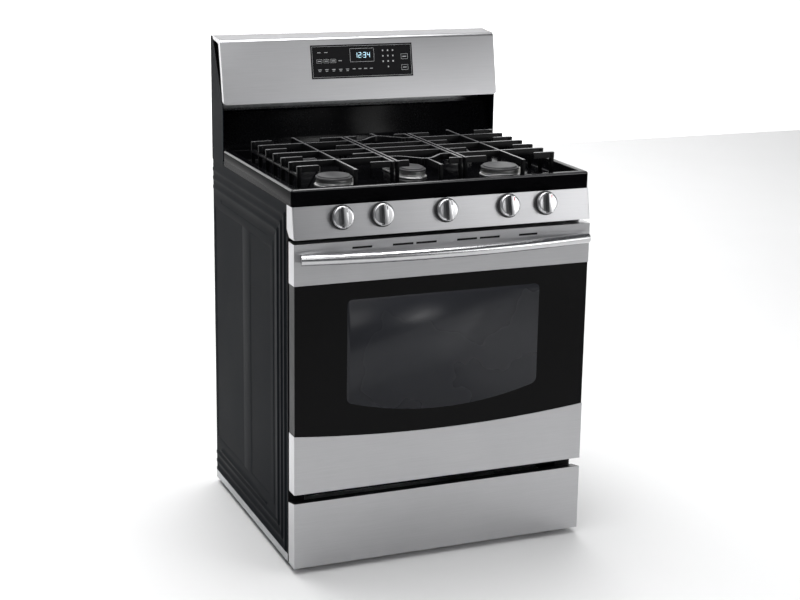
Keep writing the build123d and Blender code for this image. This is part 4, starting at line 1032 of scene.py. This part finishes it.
# control glass: places across and up the glass from its middle, sizes across and up, all in millimetres
control = {
    "half": (140.8, 43.3), "thickness": (-0.6, 2.4), "markLift": 0.12, "digitLift": 0.1, "sink": 0.05,
    "frames": [(0, 0, 273.6, 78.6, 0.5), (0, 15, 66, 34, 0.6),
               *[(-118 + 19 * k, 2, 14, 9, 0.5) for k in range(3)], *[(118, z, 18, 13, 0.6) for z in (8, -20)]],
    "dashes": [*[(-118 + 19 * k, row, 9, 1.5) for row, count in ((24, 2), (2, 4), (-20, 5)) for k in range(count)],
               *[(-118 + 19 * k, -24, 6, 1.2) for k in range(5)],
               *[(-24 + 16 * k, -20, 8, 1.5) for k in range(4)],
               *[(118, z, 10, 1.8) for z in (8, -20)]],
    "keys": [(58 + 14 * column, 25 - 14 * row, 3.4, 3.6) for row in range(4) for column in range(3)
             if row < 3 or column == 1],
    "digits": "1234", "digitsFrom": -17, "digitPitch": 11, "colonGap": 2, "digitZ": 15,
    "digit": (6.5, 13, 1.3), "colon": [(0.2, 18, 1.3, 1.3), (0.2, 12, 1.3, 1.3)],
}
litBars = {"1": "bc", "2": "abged", "3": "abgcd", "4": "fgbc"}


def controlPlace():
    # the glass lies on the leaning face: local X across, Z up the slope, -Y outwards
    rise = bendZ - guardLow.z
    middleZ = (glassLow.z + glassHigh.z) / 2
    slopeY = guardLow.y + guard["lean"] * (middleZ - guardLow.z) / rise
    tilt = math.atan2(guard["lean"], guardHigh.z - guard["bendDrop"] - guardLow.z)
    return Matrix.Translation((0, slopeY, middleZ)) @ Matrix.Rotation(-tilt, 4, "X")


def controlPieces():
    d = control
    place = controlPlace()
    halfX, halfZ = d["half"]
    face, behind = d["thickness"]

    def slab(bm, x, z, w, h, near, far):
        made = addBox(bm, ((x - w / 2) * mm, near * mm, (z - h / 2) * mm), ((x + w / 2) * mm, far * mm, (z + h / 2) * mm))
        bmesh.ops.transform(bm, matrix=place, verts=made)

    bm = bmesh.new()
    slab(bm, 0, 0, 2 * halfX, 2 * halfZ, face, behind)
    makePiece("controlGlass", bm, "range_body", finish["controlGlass"], ["control_glass"],
              bevel=0.5 * mm)
    bars = d["dashes"] + d["keys"]
    for x, z, w, h, line in d["frames"]:
        bars += [(x, z + h / 2, w, line), (x, z - h / 2, w, line), (x - w / 2, z, line, h), (x + w / 2, z, line, h)]
    marks = bmesh.new()
    for bar in bars:
        slab(marks, *bar, face - d["markLift"], face + d["sink"])
    makePiece("controlMarks", marks, "range_body", finish["paintedMark"])
    digits = bmesh.new()
    w, h, line = d["digit"]
    z = d["digitZ"]
    lit = list(d["colon"])
    for k, digit in enumerate(d["digits"]):
        x = d["digitsFrom"] + d["digitPitch"] * k + (d["colonGap"] if k > 1 else 0)
        spots = {"a": (x, z + h / 2, w, line), "d": (x, z - h / 2, w, line), "g": (x, z, w, line),
                 "f": (x - w / 2, z + h / 4, line, h / 2), "b": (x + w / 2, z + h / 4, line, h / 2),
                 "e": (x - w / 2, z - h / 4, line, h / 2), "c": (x + w / 2, z - h / 4, line, h / 2)}
        lit += [spots[name] for name in litBars[digit]]
    for bar in lit:
        slab(digits, *bar, face - d["digitLift"], face + d["sink"])
    makePiece("displayDigits", digits, "range_body", finish["segments"])


guardPanelPiece()
riserPiece()
controlPieces()
print("backguard fitted")

# floor, backdrop, lights and camera
stage = {
    # lowest and highest corner, tone, glow
    "studioFloor": ((-9, -9, -0.02), (9, 9, 0), (0.86, 0.86, 0.86), 0),
    "studioBackdrop": ((-9, 5, 0), (12, 5.05, 7), (0.95, 0.95, 0.95), 0.75),
}
room = (0.07, 0.073, 0.078)


def stagePlane(name, low, high, tone, glow):
    bm = bmesh.new()
    addBox(bm, low, high)
    mesh = bpy.data.meshes.new(name)
    bm.to_mesh(mesh)
    bm.free()
    made, tree, shader = newMaterial(name)
    soft = patternNode(tree, "ShaderNodeTexNoise", (3, 3, 3), Scale=1.0)
    lighter = tuple(c * 1.02 for c in tone)
    tree.links.new(blendColours(tree, soft.outputs["Fac"], tone, lighter), shader.inputs["Base Color"])
    shader.inputs["Roughness"].default_value = 0.9
    shader.inputs["Specular IOR Level"].default_value = 0.1
    shader.inputs["Emission Color"].default_value = (1, 1, 1, 1)
    shader.inputs["Emission Strength"].default_value = glow
    mesh.materials.append(made)
    piece = bpy.data.objects.new(name, mesh)
    scene.collection.objects.link(piece)


for name, (low, high, tone, glow) in stage.items():
    stagePlane(name, low, high, tone, glow)


def areaLight(name, place, target, size, power):
    light = bpy.data.lights.new(name, "AREA")
    light.shape = "RECTANGLE"
    light.size, light.size_y = size
    light.energy = power
    made = bpy.data.objects.new(name, light)
    made.location = place
    made.rotation_euler = (Vector(target) - Vector(place)).to_track_quat("-Z", "Y").to_euler()
    scene.collection.objects.link(made)


lights = {
    # name: place, aim, width and height, watts
    "softTop": ((-0.1, 0.1, 3.2), (-0.1, -0.1, 0), (2.2, 2.0), 88),
    "frontFloor": ((-1.2, -2.2, 3.0), (-0.9, -1.4, 0), (2.4, 1.6), 26),
    "rightFloor": ((2.4, -3.5, 1.5), (1.7, -3.0, 0), (1.0, 1.0), 16),
    "frontHigh": ((2.9, -4.4, 2.7), (0.2, 0.2, 1.1), (2.8, 1.6), 22),
    "rightFront": ((3.6, -3.8, 1.3), (0.2, -0.2, 0.8), (1.8, 1.6), 20),
    "backFloor": ((0.5, 3.4, 3.4), (0.5, 2.8, 0), (6.0, 2.0), 110),
}
for name, (place, aim, size, power) in lights.items():
    areaLight(name, place, aim, size, power)

world = bpy.data.worlds.new("softRoom")
world.use_nodes = True
world.node_tree.nodes["Background"].inputs["Color"].default_value = (*room, 1)
world.node_tree.nodes["Background"].inputs["Strength"].default_value = 1
scene.world = world
scene.view_settings.view_transform = "Standard"

cameraLook = {
    "place": (-1.5539, -3.8003, 1.6744), "turn": (75.235, -0.876, -22.234),
    "lens": 75.24, "sensor": 36, "shift": (-0.0049, -0.0103),
}
camera = bpy.data.cameras.new("camera")
camera.lens = cameraLook["lens"]
camera.sensor_width = cameraLook["sensor"]
camera.shift_x, camera.shift_y = cameraLook["shift"]
cameraObject = bpy.data.objects.new("camera", camera)
cameraObject.location = cameraLook["place"]
cameraObject.rotation_euler = [math.radians(a) for a in cameraLook["turn"]]
scene.collection.objects.link(cameraObject)
scene.camera = cameraObject
print("stage lit")
